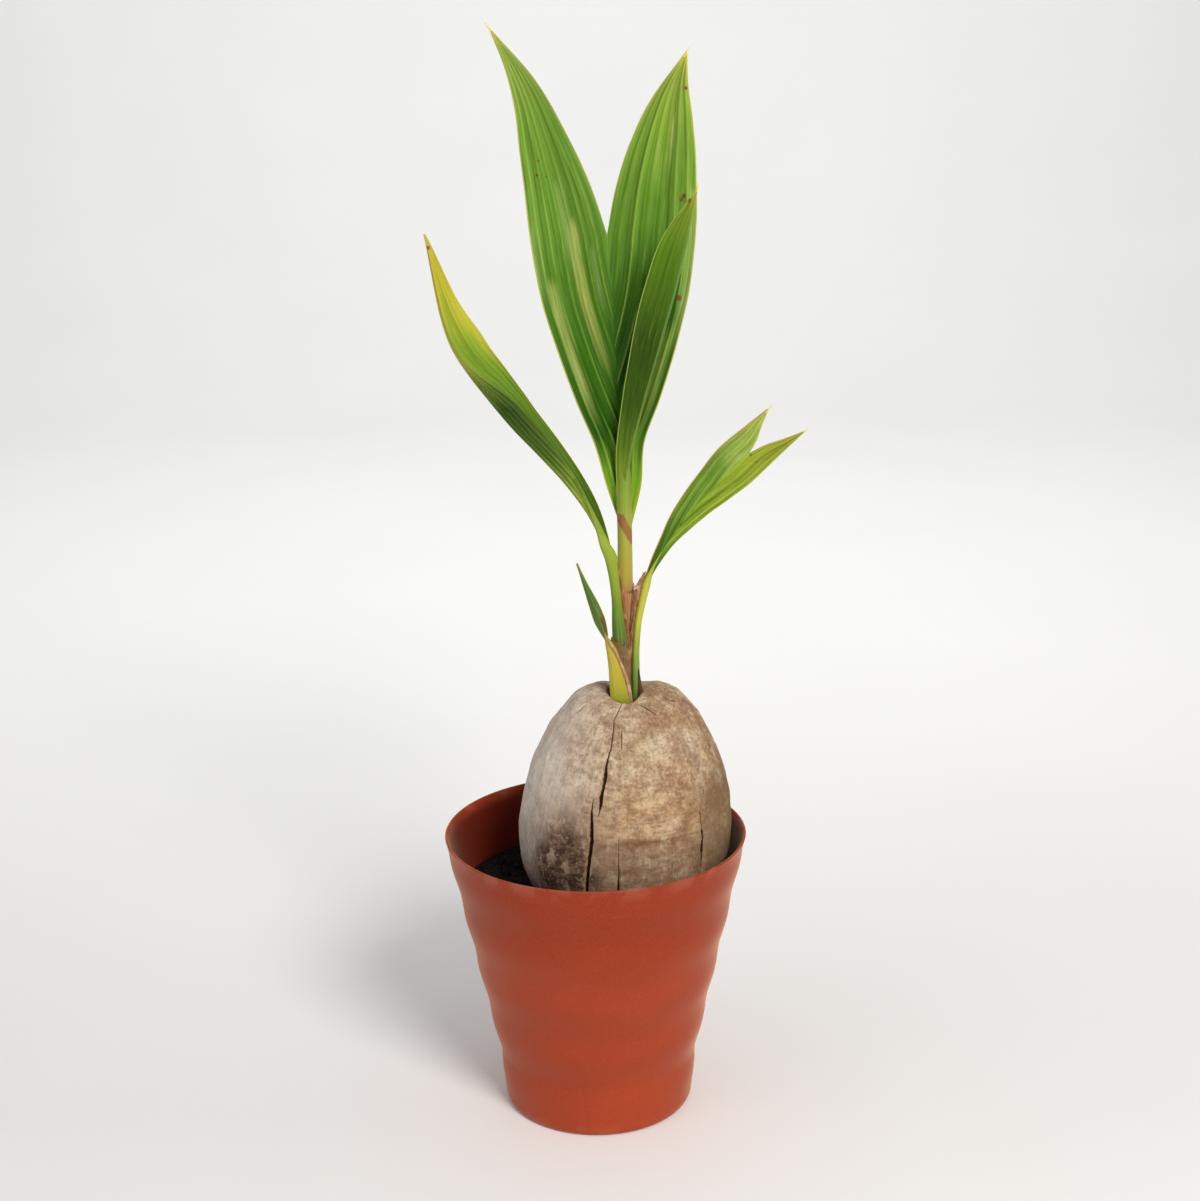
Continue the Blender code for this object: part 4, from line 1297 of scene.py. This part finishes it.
def leaf_finish(name, settings, left, right, rib_tone, rib_strength=0.6, margin=None,
                fork_edge=None, patches=(), spots=(), furrow_shade=0.5, grain=0.3, flush=None,
                midrib_shade=None, margin_strength=(0.8, 0.8)):
    """Leaf: colours up each half, pale ribs, painted furrow shade, veins, patches and spots.

    A colour is its red, green and blue, and comes last in each row. A patch is (half, ribs,
    shares of the length, strength, colour), a spot (place, radius, colour), and the fork's
    edge (start, colour). A flush spreads inward from the right margin, and painted shade
    outward from the midrib: (start, full, end, width in cm, strength, colour).
    """
    finish = Finish(name, Roughness=0.4, Specular_IOR_Level=0.12)
    fade, lay = finish.fade, finish.lay
    rib, along = finish.map("Ribs")
    edge, inner = finish.map("Edges")
    right_half = fade(rib, -0.001, 0.001)
    drift = finish.noise(finish.vector(rib * 0.55, along * 4.0), 1.4, 3)
    up = along + (drift - 0.5) * 0.18
    finish.body = finish.mix(right_half, finish.ramp(up, *left), finish.ramp(up, *right))
    # each strip between two ribs is a little lighter or darker, with painted shade across it
    number = finish.math('ROUND', rib)
    each_rib = finish.scatter(number)
    each_strip = finish.scatter(finish.math('FLOOR', rib))
    lean = rib - number
    finish.body = finish.brighten(
        finish.body, (0.84 + each_strip * 0.30) * (1.0 - lean * furrow_shade * 0.5))
    wide_bands = finish.noise(finish.vector(rib * 1.3, along * 3.0), 1.5, 3, 0.5)
    long_grain = finish.noise(finish.vector(rib * 5.0, along * 6.0), 1.5, 5, 0.6)
    lay(fade(wide_bands, 0.46, 0.64) * grain, settings.shaded)
    lay(fade(long_grain, 0.50, 0.70) * grain * 0.6, settings.shaded)
    lay(fade(long_grain, 0.48, 0.30) * grain * 0.7, 152, 182, 70)
    # painted shade in the furrows between the ribs, fainter towards the tip
    to_rib = finish.math('PINGPONG', abs(rib), 0.5)
    furrow_shade_mask = fade(to_rib, 0.26, 0.5) * fade(along, 0.05, 0.18)
    fainter = 1 - fade(along, 0.62, 0.86) * 0.55
    lay(furrow_shade_mask * fainter * fade(drift, 0.34, 0.60) * furrow_shade, settings.shaded)
    for half, (rib_low, rib_high), (low, high), strength, *shade in patches:
        inside = (fade(rib * half, rib_low - 0.16, rib_low + 0.16)
                  * fade(rib * half, rib_high + 0.16, rib_high - 0.16)
                  * fade(along + (drift - 0.5) * 0.08, low - 0.05, low + 0.05)
                  * fade(along + (long_grain - 0.5) * 0.08, high + 0.02, high - 0.02))
        lay(inside * (0.5 + fade(long_grain, 0.62, 0.40) * 0.5) * strength, *shade)
    # a yellow flush in from the right margin, and painted shade out from the midrib
    for tinge, distance, sides in ((flush, edge, right_half), (midrib_shade, inner, 1.0)):
        if tinge:
            start, full, end, width, strength, *shade = tinge
            spread = (fade(along, start, full) * fade(along, end + 0.05, end)
                      * fade(distance + (long_grain - 0.5) * width * 0.5, width, 0.0))
            lay(spread * sides * strength, *shade)
    crest = fade(to_rib, 0.075, 0.02) * (0.15 + each_rib * 0.85)
    lay(crest * fainter * fade(drift, 0.34, 0.54) * rib_strength, *rib_tone)
    veins = finish.math('SINE', rib * 56.5)
    finish.body = finish.brighten(finish.body, 1.0 + veins * 0.022)
    if margin:
        low, high = margin_strength
        lay(fade(edge, 0.085, 0.03) * (low + right_half * (high - low)), *margin)
    if fork_edge:
        start, *shade = fork_edge
        lay(fade(inner, 0.07, 0.025) * fade(along, start, start + 0.03) * 0.6, *shade)
    for centre, radius, *shade in spots:
        lay(finish.spot(centre, radius) * 0.9, *shade)
    # the threads at the tips, which are mapped past the blade's end
    lay(fade(along, 1.05, 1.15), 226, 214, 60)
    fine = finish.bump(veins, 0.00008, 0.5)
    return finish.done(0.42 + long_grain * 0.2,
                       finish.bump(long_grain, 0.0003, 0.35, below=fine))


YELLOW_EDGE = (196, 190, 70)
ORANGE_EDGE = (206, 150, 66)
BROWN_SPOT = (104, 58, 34)


class COCONUT_OT_tall_leaf(bpy.types.Operator):
    """Build the tallest leaf, which forks into two long lobes"""
    bl_idname = "coconut.tall_leaf"
    bl_label = "Tall Leaf"

    def execute(self, context):
        settings = context.scene.coconut_leaves
        blade = Blade(
            "tall_forked_blade",
            path=((0.0232, 0.0090, TALL_LEAF_FOOT), (0.0200, 0.0175, 0.4795),
                  (0.0160, 0.0290, 0.5521), (0.0124, 0.0410, 0.6112),
                  (0.0090, 0.0550, 0.6716), (0.0060, 0.0700, 0.7329)),
            left=(0.0036, 0.0112, 0.0176, 0.0282, 0.0377, 0.0450, 0.0488, 0.0508, 0.0520,
                  0.0534, 0.0548, 0.0596, 0.0685),
            right=(0.0036, 0.0116, 0.0154, 0.0283, 0.0403, 0.0498, 0.0555, 0.0590, 0.0606,
                   0.0614, 0.0608, 0.0594, 0.0600),
            fold=-10, ribs=7, rows=210, columns=60, sinus=0.568, seed=2.0,
            left_gap=(0.0, 0.0089, 0.0225, 0.0402, 0.0680),
            right_gap=(0.0, 0.0072, 0.0183, 0.0346, 0.0594), right_reach=0.93,
        ).build(settings, threads=(
            ((-0.0600, 0.0580, 0.7305), (-0.0640, 0.0590, 0.7360)),
            ((0.0640, 0.0540, 0.7130), (0.0672, 0.0545, 0.7195))))
        # painted shade: both halves are darkest from 0.19 to about 0.34, in the shade of the
        # fold
        left = ((0.0, 130, 168, 36), (0.13, 112, 156, 34), (0.19, 36, 84, 4),
                (0.32, 58, 106, 12), (0.52, 94, 138, 38), (0.80, 122, 162, 58),
                (0.96, 158, 178, 80), (1.0, 200, 194, 66))
        right = ((0.0, 130, 168, 36), (0.13, 110, 152, 32), (0.19, 32, 76, 3),
                 (0.34, 44, 90, 6), (0.52, 82, 128, 30), (0.80, 122, 158, 52),
                 (0.96, 156, 176, 72), (1.0, 200, 194, 66))
        hand_over(blade, leaf_finish(
            "tall_leaf_green", settings, left, right, (176, 192, 108), 0.38,
            margin=YELLOW_EDGE, fork_edge=(0.60, 204, 160, 112), furrow_shade=0.6,
            patches=((-1, (5.15, 6.0), (0.24, 0.47), 0.72, 170, 180, 98),
                     (-1, (5.9, 6.7), (0.44, 0.60), 0.55, 138, 168, 84),
                     (-1, (2.5, 3.4), (0.34, 0.60), 0.72, 172, 176, 92),
                     (-1, (1.2, 1.8), (0.42, 0.54), 0.5, 128, 160, 84),
                     (-1, (2.9, 3.8), (0.52, 0.68), 0.5, 146, 172, 92),
                     (1, (4.2, 4.5), (0.76, 0.84), 0.5, 186, 194, 108),
                     (1, (3.0, 3.3), (0.70, 0.78), 0.4, 182, 190, 106),
                     (1, (6.1, 7.0), (0.36, 0.66), 0.6, 156, 176, 96),
                     (1, (5.5, 6.3), (0.20, 0.36), 0.45, 150, 168, 76)),
            spots=(((-0.0309, 0.0428, 0.6495), 0.0015, *BROWN_SPOT),
                   ((-0.0321, 0.0405, 0.6406), 0.0014, *BROWN_SPOT),
                   ((-0.0257, 0.0413, 0.6394), 0.0010, *BROWN_SPOT),
                   ((0.0650, 0.0491, 0.6938), 0.0016, *BROWN_SPOT),
                   ((0.0630, 0.0352, 0.6264), 0.0022, *BROWN_SPOT),
                   ((0.0612, 0.0355, 0.6240), 0.0018, *BROWN_SPOT),
                   ((0.0591, 0.0221, 0.5623), 0.0026, *BROWN_SPOT))),
            "leaf_green", "tall_leaf")
        return {'FINISHED'}


class COCONUT_OT_spear_leaf(bpy.types.Operator):
    """Build the narrow leaf in front of the tall one, seen from its ridged back"""
    bl_idname = "coconut.spear_leaf"
    bl_label = "Spear Leaf"

    def execute(self, context):
        settings = context.scene.coconut_leaves
        blade = Blade(
            "spear_blade",
            path=((0.0218, 0.0032, SPEAR_LEAF_FOOT), (0.0245, 0.0025, 0.4580),
                  (0.0334, 0.0000, 0.4950), (0.0452, -0.0056, 0.5370),
                  (0.0565, -0.0125, 0.5800), (0.0686, -0.0220, 0.6350)),
            left=(0.0050, 0.0066, 0.0100, 0.0130, 0.0160, 0.0187, 0.0192, 0.0158, 0.0008),
            right=(0.0030, 0.0055, 0.0085, 0.0125, 0.0160, 0.0180, 0.0170, 0.0110, 0.0008),
            fold=49, base_fold=40, turn=(-20, -31, -31), ribs=5, rows=150, columns=36,
            relief=0.18, seed=8.0,
        ).build(settings, threads=(((0.0684, -0.0218, 0.6340), (0.0692, -0.0222, 0.6395)),))
        # painted shade: the left half is darkest from 0.40 to 0.60, where it lies in shade
        left = ((0.0, 134, 154, 48), (0.14, 120, 146, 42), (0.26, 92, 120, 26),
                (0.40, 58, 84, 10), (0.60, 50, 76, 5), (0.85, 90, 130, 22),
                (0.95, 124, 150, 44), (1.0, 190, 190, 64))
        right = ((0.0, 134, 154, 48), (0.16, 112, 140, 44), (0.60, 96, 134, 42),
                 (0.90, 112, 148, 50), (1.0, 196, 192, 66))
        hand_over(blade, leaf_finish(
            "spear_leaf_green", settings, left, right, (140, 160, 70), 0.12,
            margin=(166, 180, 84), furrow_shade=0.15,
            spots=(((0.0640, -0.0198, 0.6285), 0.0020, 128, 84, 44),)),
            "leaf_green", "spear_leaf")
        return {'FINISHED'}


LEFT_PATH = vectors((
    (0.0184, -0.0054, PLANT_FOOT), (0.0185, -0.0055, 0.3220), (0.0182, -0.0060, 0.3590),
    (0.0128, -0.0082, 0.3960), (-0.0080, -0.0135, 0.4490), (-0.0430, -0.0245, 0.4990),
    (-0.0830, -0.0370, 0.5410), (-0.0989, -0.0520, 0.6130)))
RIGHT_PATH = vectors((
    (0.0286, -0.0044, PLANT_FOOT), (0.0289, -0.0048, 0.3180), (0.0303, -0.0058, 0.3500),
    (0.0360, -0.0078, 0.3785), (0.0492, -0.0125, 0.4060), (0.0680, -0.0200, 0.4330),
    (0.0930, -0.0310, 0.4620), (0.1247, -0.0434, 0.4951)))
FIRST_PATH = vectors((
    (0.0194, -0.0122, PLANT_FOOT), (0.0160, -0.0132, 0.3150), (0.0098, -0.0146, 0.3400),
    (0.0037, -0.0177, 0.3590), (-0.0025, -0.0210, 0.3765), (-0.0095, -0.0240, 0.3968)))
STALK_SHARE = 3 / 7
SHEATH_SHARE = 2 / 5


class COCONUT_OT_left_leaf(bpy.types.Operator):
    """Build the leaf that arches to the left, and its thick stalk"""
    bl_idname = "coconut.left_leaf"
    bl_label = "Left Leaf"

    def execute(self, context):
        settings = context.scene.coconut_leaves
        stalk = stalk_object("left_leaf_stalk", [
            ((0.0184, -0.0054, PLANT_FOOT), 0.0055, 0.0036),
            ((0.0186, -0.0054, 0.3120), 0.0056, 0.0037),
            ((0.0188, -0.0056, 0.3366), 0.0057, 0.0038),
            ((0.0178, -0.0058, 0.3504), 0.0049, 0.0038),
            ((0.0169, -0.0062, 0.3658), 0.0040, 0.0037),
            ((0.0154, -0.0068, 0.3812), 0.0040, 0.0036),
            ((0.0128, -0.0082, 0.3960), 0.0042, 0.0034),
            *on_blade(LEFT_PATH, STALK_SHARE, (
                (0.045, 0.0034, 0.0029), (0.085, 0.0026, 0.0022), (0.13, 0.0017, 0.0015),
                (0.19, 0.0009, 0.0008), (0.26, 0.0003, 0.0003)), (-0.0011, -0.0004, 0))],
            44, 190, channel=0.0004)
        hand_over(stalk, stalk_finish("left_stalk_skin", (
            (0.286, 92, 84, 48), (0.334, 96, 88, 46),
            (0.342, 78, 106, 30), (0.350, 82, 118, 22),
            (0.366, 108, 136, 24),
            (0.385, 134, 156, 36), (0.408, 148, 166, 48),
            (0.427, 126, 146, 42), (0.445, 98, 120, 34),
            (0.465, 84, 106, 34))),
            "stalk_green", "left_stalk")
        blade = Blade(
            "left_arching_blade", LEFT_PATH,
            left=(0.0042, 0.0055, 0.0106, 0.0152, 0.0170, 0.0158, 0.0112, 0.0080, 0.0008),
            right=(0.0042, 0.0110, 0.0099, 0.0116, 0.0160, 0.0196, 0.0197, 0.0100, 0.0008),
            fold=50, base_fold=60, turn=(-10, -18, -19, -18, 12, 26, 26), ribs=5, rows=170,
            columns=34, relief=0.35, stalk_spans=3, lift=0.0003, seed=4.0).build(settings)
        # painted shade: the left half darkens from 0.36 to 0.52, where it faces away from the
        # light
        left = ((0.0, 150, 168, 50), (0.10, 164, 184, 66), (0.22, 150, 174, 60),
                (0.36, 84, 112, 32), (0.52, 50, 78, 20), (0.62, 120, 144, 48),
                (0.72, 190, 194, 74), (0.86, 222, 204, 78), (0.985, 204, 160, 64),
                (1.0, 128, 82, 44))
        right = ((0.0, 84, 116, 32), (0.06, 52, 84, 18), (0.20, 58, 90, 14),
                 (0.42, 84, 114, 26), (0.58, 106, 138, 36), (0.74, 126, 154, 42),
                 (0.88, 184, 182, 54), (0.985, 196, 158, 58), (1.0, 128, 82, 44))
        hand_over(blade, leaf_finish(
            "left_leaf_green", settings, left, right, (160, 172, 84), 0.22,
            flush=(0.55, 0.74, 1.0, 1.0, 0.80, 196, 190, 60),
            # painted shade out from the midrib, by the fold
            midrib_shade=(0.24, 0.38, 0.58, 0.70, 0.5, 86, 112, 40),
            spots=(((-0.0969, -0.0505, 0.6048), 0.0018, 140, 70, 36),),
            margin_strength=(0.1, 0.7),
            margin=(206, 172, 66), furrow_shade=0.15, grain=0.22), "leaf_green", "left_blade")
        return {'FINISHED'}


class COCONUT_OT_right_leaf(bpy.types.Operator):
    """Build the small forked leaf on the right, and its thin stalk"""
    bl_idname = "coconut.right_leaf"
    bl_label = "Right Leaf"

    def execute(self, context):
        settings = context.scene.coconut_leaves
        stalk = stalk_object("right_leaf_stalk", [
            ((0.0286, -0.0044, PLANT_FOOT), 0.0029, 0.0026),
            ((0.0286, -0.0045, 0.3100), 0.0028, 0.0026),
            ((0.0288, -0.0048, 0.3300), 0.0024, 0.0025),
            ((0.0304, -0.0056, 0.3500), 0.0023, 0.0024),
            ((0.0332, -0.0066, 0.3650), 0.0024, 0.0024),
            ((0.0365, -0.0078, 0.3785), 0.0025, 0.0022),
            *on_blade(RIGHT_PATH, STALK_SHARE, (
                (0.035, 0.0019, 0.0018), (0.075, 0.0013, 0.0012), (0.13, 0.0007, 0.0007),
                (0.20, 0.0003, 0.0003)), (0, -0.0002, 0))], 36, 170)
        hand_over(stalk, stalk_finish("right_stalk_skin", (
            (0.286, 90, 118, 42), (0.315, 100, 140, 46),
            (0.335, 142, 160, 48), (0.352, 182, 182, 54),
            (0.375, 182, 184, 60), (0.395, 152, 172, 58),
            (0.430, 116, 152, 54))), "stalk_green", "right_stalk")
        blade = Blade(
            "right_forked_blade", RIGHT_PATH,
            left=(0.0030, 0.0038, 0.0054, 0.0087, 0.0112, 0.0134, 0.0157, 0.0144, 0.0130),
            right=(0.0030, 0.0034, 0.0043, 0.0073, 0.0102, 0.0136, 0.0159, 0.0152, 0.0145),
            fold=8, base_fold=40, ribs=3, rows=140, columns=34, relief=0.75, seed=6.0,
            stalk_spans=3, lift=0.0003, sinus=0.82,
            left_gap=(0.0, 0.0028, 0.0077, 0.0119), left_reach=0.970,
            right_gap=(0.0, 0.0033, 0.0088, 0.0137),
        ).build(settings, threads=(
            ((0.1108, -0.0410, 0.4982), (0.1148, -0.0424, 0.5034)),
            ((0.1350, -0.0418, 0.4858), (0.1378, -0.0425, 0.4884))))
        left = ((0.0, 160, 174, 58), (0.10, 66, 104, 20), (0.30, 84, 124, 38),
                (0.42, 122, 160, 52), (0.68, 134, 170, 60), (0.80, 168, 194, 88),
                (1.0, 196, 206, 104))
        right = ((0.0, 160, 174, 58), (0.08, 64, 102, 18), (0.32, 128, 160, 36),
                 (0.75, 154, 174, 50), (0.86, 160, 168, 54), (1.0, 170, 172, 62))
        hand_over(blade, leaf_finish(
            "right_leaf_green", settings, left, right, (184, 200, 104), 0.4,
            margin=ORANGE_EDGE, furrow_shade=0.55, fork_edge=(0.83, 196, 168, 84),
            # the first patch is a painted shadow across the left lobe, below its fold
            patches=((-1, (0.8, 2.7), (0.64, 0.73), 0.45, 88, 130, 46),
                     (-1, (0.2, 1.2), (0.755, 0.80), 0.5, 190, 186, 110)),
            spots=(((0.1061, -0.0329, 0.4647), 0.0014, 140, 92, 44),
                   ((0.1025, -0.0342, 0.4697), 0.0013, 86, 96, 44),
                   ((0.0586, -0.0166, 0.4200), 0.0012, 92, 84, 44)),
            margin_strength=(0.75, 0.15)),
            "leaf_green", "right_blade")
        return {'FINISHED'}


class COCONUT_OT_first_leaf(bpy.types.Operator):
    """Build the first, shrunken leaf and its wide yellow sheath"""
    bl_idname = "coconut.first_leaf"
    bl_label = "First Leaf"

    def execute(self, context):
        settings = context.scene.coconut_leaves
        sheath = stalk_object("yellow_sheath", [
            ((0.0190, -0.0122, PLANT_FOOT), 0.0078, 0.0024),
            ((0.0180, -0.0124, 0.2990), 0.0068, 0.0025),
            ((0.0164, -0.0128, 0.3120), 0.0058, 0.0026),
            ((0.0148, -0.0133, 0.3230), 0.0047, 0.0025),
            ((0.0126, -0.0139, 0.3330), 0.0035, 0.0022),
            ((0.0106, -0.0144, 0.3392), 0.0024, 0.0016),
            *on_blade(FIRST_PATH, SHEATH_SHARE, (
                (0.05, 0.0011, 0.0008), (0.11, 0.0004, 0.0004)), (0.0002, 0.0002, 0))],
            44, 130)
        hand_over(sheath, stalk_finish("yellow_sheath_skin", (
            (0.286, 112, 136, 38), (0.300, 146, 148, 38),
            (0.315, 176, 160, 42), (0.335, 184, 164, 54),
            (0.350, 140, 130, 56)), grain_tone=(146, 122, 34)),
            "sheath_yellow", "first_sheath")
        blade = Blade(
            "first_blade_dry_tip", FIRST_PATH,
            left=(0.0010, 0.0034, 0.0046, 0.0042, 0.0036, 0.0028, 0.0020, 0.0012, 0.0006),
            right=(0.0010, 0.0030, 0.0042, 0.0042, 0.0038, 0.0030, 0.0020, 0.0012, 0.0006),
            fold=30, ribs=2, rows=70,
            columns=12, relief=0.15, stalk_spans=2, lift=0.0003, seed=1.0).build(settings)
        stops = ((0.0, 150, 140, 62), (0.12, 104, 128, 54), (0.60, 86, 118, 50),
                 (0.86, 100, 126, 54), (0.93, 140, 116, 64), (1.0, 112, 64, 44))
        hand_over(blade, leaf_finish(
            "first_leaf_green", settings, stops, stops, (140, 156, 92), 0.3,
            margin=(170, 160, 76), furrow_shade=0.2,
            patches=((1, (0.2, 2.2), (0.0, 0.30), 1.0, 104, 58, 44),
                     (1, (1.3, 2.2), (0.28, 0.44), 0.7, 128, 84, 58))),
            "leaf_green", "first_blade")
        return {'FINISHED'}


# ---------------------------------------------------------------- stage

CAMERA_PLACE = Vector((0.0052, -1.300, 0.744))
CAMERA_PITCH, CAMERA_ROLL = math.radians(90 - 16.27), math.radians(-0.75)
CAMERA_LENS, CAMERA_SENSOR = 60.85, 36.0
BOARD_SIZE, BOARD_RISE, BOARD_BEND = 8.0, 5.0, 1.6
# Round soft lights: name, setting for the power, place, aim, diameter and colour.
LIGHTS = (("key_light", "key_power", (0.85, -1.75, 1.75), (0.0, 0.0, 0.35), 0.9,
           (1.0, 0.965, 0.92)),
          ("backdrop_light", "backdrop_power", (0.0, 0.9, 2.4), (0.0, 4.0, 1.2), 2.5,
           (1.0, 1.0, 1.0)),
          ("fill_light", "fill_power", (-1.7, -1.3, 1.1), (0.0, 0.0, 0.35), 1.6,
           (0.93, 0.96, 1.0)))


def studio_finish():
    """Matt pale board with the faintest mottling."""
    finish = Finish("studio_board", Roughness=0.9, Specular_IOR_Level=0.1)
    tone = finish.noise(finish.place(), 3, 3)
    finish.drive("Base Color", finish.mix(tone, tint(241, 241, 240), tint(246, 246, 245)))
    return finish.material


def add_light(name, place, target, size, power, shade):
    """Round area light that faces its target."""
    deselect_all()
    bpy.ops.object.light_add(type='AREA', location=place)
    light = bpy.context.object
    light.name = name
    light.data.shape, light.data.size = 'DISK', size
    light.data.energy, light.data.color = power, shade
    light.rotation_euler = (Vector(target) - Vector(place)).to_track_quat('-Z', 'Y').to_euler()


class COCONUT_OT_stage(bpy.types.Operator):
    """Build the pale curved backdrop, the studio lights and the camera"""
    bl_idname = "coconut.stage"
    bl_label = "Stage"

    def execute(self, context):
        settings = context.scene.coconut_stage
        deselect_all()
        bpy.ops.mesh.primitive_plane_add(size=BOARD_SIZE, location=(0.0, 0.0, 0.0))
        board = bpy.context.object
        board.name = "studio_backdrop"
        bpy.ops.object.mode_set(mode='EDIT')
        bpy.ops.mesh.select_mode(type='EDGE')
        self.select_far_edge(board)
        bpy.ops.mesh.extrude_region_move(
            TRANSFORM_OT_translate={"value": (0.0, 0.0, BOARD_RISE)})
        self.select_far_edge(board)
        bpy.ops.mesh.bevel(offset=BOARD_BEND, segments=24, affect='EDGES')
        bpy.ops.object.mode_set(mode='OBJECT')
        board.data.materials.append(studio_finish())
        make_active(board)
        bpy.ops.object.shade_smooth_by_angle(angle=math.radians(40))
        for name, setting, place, target, size, shade in LIGHTS:
            add_light(name, place, target, size, getattr(settings, setting), shade)
        world = bpy.data.worlds.new("studio_surroundings")
        world.use_nodes = True
        background = world.node_tree.nodes["Background"]
        background.inputs["Color"].default_value = (1.0, 1.0, 1.0, 1.0)
        background.inputs["Strength"].default_value = settings.surroundings
        context.scene.world = world
        context.scene.view_settings.view_transform = 'Standard'
        deselect_all()
        bpy.ops.object.camera_add(location=CAMERA_PLACE)
        camera = bpy.context.object
        camera.rotation_euler = (Matrix.Rotation(CAMERA_PITCH, 3, 'X')
                                 @ Matrix.Rotation(CAMERA_ROLL, 3, 'Z')).to_euler()
        camera.data.lens, camera.data.sensor_width = CAMERA_LENS, CAMERA_SENSOR
        context.scene.camera = camera
        return {'FINISHED'}

    def select_far_edge(self, board):
        """Select only the floor's edge that lies farthest back."""
        bpy.ops.mesh.select_all(action='DESELECT')
        bm = bmesh.from_edit_mesh(board.data)
        for edge in bm.edges:
            if all(v.co.y > 0.49 * BOARD_SIZE and v.co.z < 0.1 for v in edge.verts):
                edge.select_set(True)
        bmesh.update_edit_mesh(board.data)


# ---------------------------------------------------------------- panel and start

OPERATORS = (COCONUT_OT_pot, COCONUT_OT_soil, COCONUT_OT_husk, COCONUT_OT_stem,
             COCONUT_OT_sheaths, COCONUT_OT_first_leaf, COCONUT_OT_left_leaf,
             COCONUT_OT_right_leaf, COCONUT_OT_tall_leaf, COCONUT_OT_spear_leaf,
             COCONUT_OT_stage)
SETTINGS = {"coconut_pot": CoconutPotSettings, "coconut_husk": CoconutHuskSettings,
            "coconut_leaves": CoconutLeafSettings, "coconut_stage": CoconutStageSettings}


class COCONUT_PT_panel(bpy.types.Panel):
    """Sizes, colours and build buttons of the potted coconut"""
    bl_idname = "COCONUT_PT_panel"
    bl_label = "Potted Coconut"
    bl_space_type = 'VIEW_3D'
    bl_region_type = 'UI'
    bl_category = "Coconut"

    def draw(self, context):
        for name, group in SETTINGS.items():
            box = self.layout.box()
            for field in group.__annotations__:
                box.prop(getattr(context.scene, name), field)
        for operator in OPERATORS:
            self.layout.operator(operator.bl_idname)


def register():
    for cls in (*SETTINGS.values(), *OPERATORS, COCONUT_PT_panel):
        bpy.utils.register_class(cls)
    for name, group in SETTINGS.items():
        setattr(bpy.types.Scene, name, bpy.props.PointerProperty(type=group))


def unregister():
    for name in SETTINGS:
        delattr(bpy.types.Scene, name)
    for cls in reversed((*SETTINGS.values(), *OPERATORS, COCONUT_PT_panel)):
        bpy.utils.unregister_class(cls)


def main():
    """Register the classes and build every piece in order."""
    register()
    for operator in OPERATORS:
        getattr(bpy.ops.coconut, operator.bl_idname.split(".")[1])()
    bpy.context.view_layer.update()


if __name__ == "__main__":
    main()
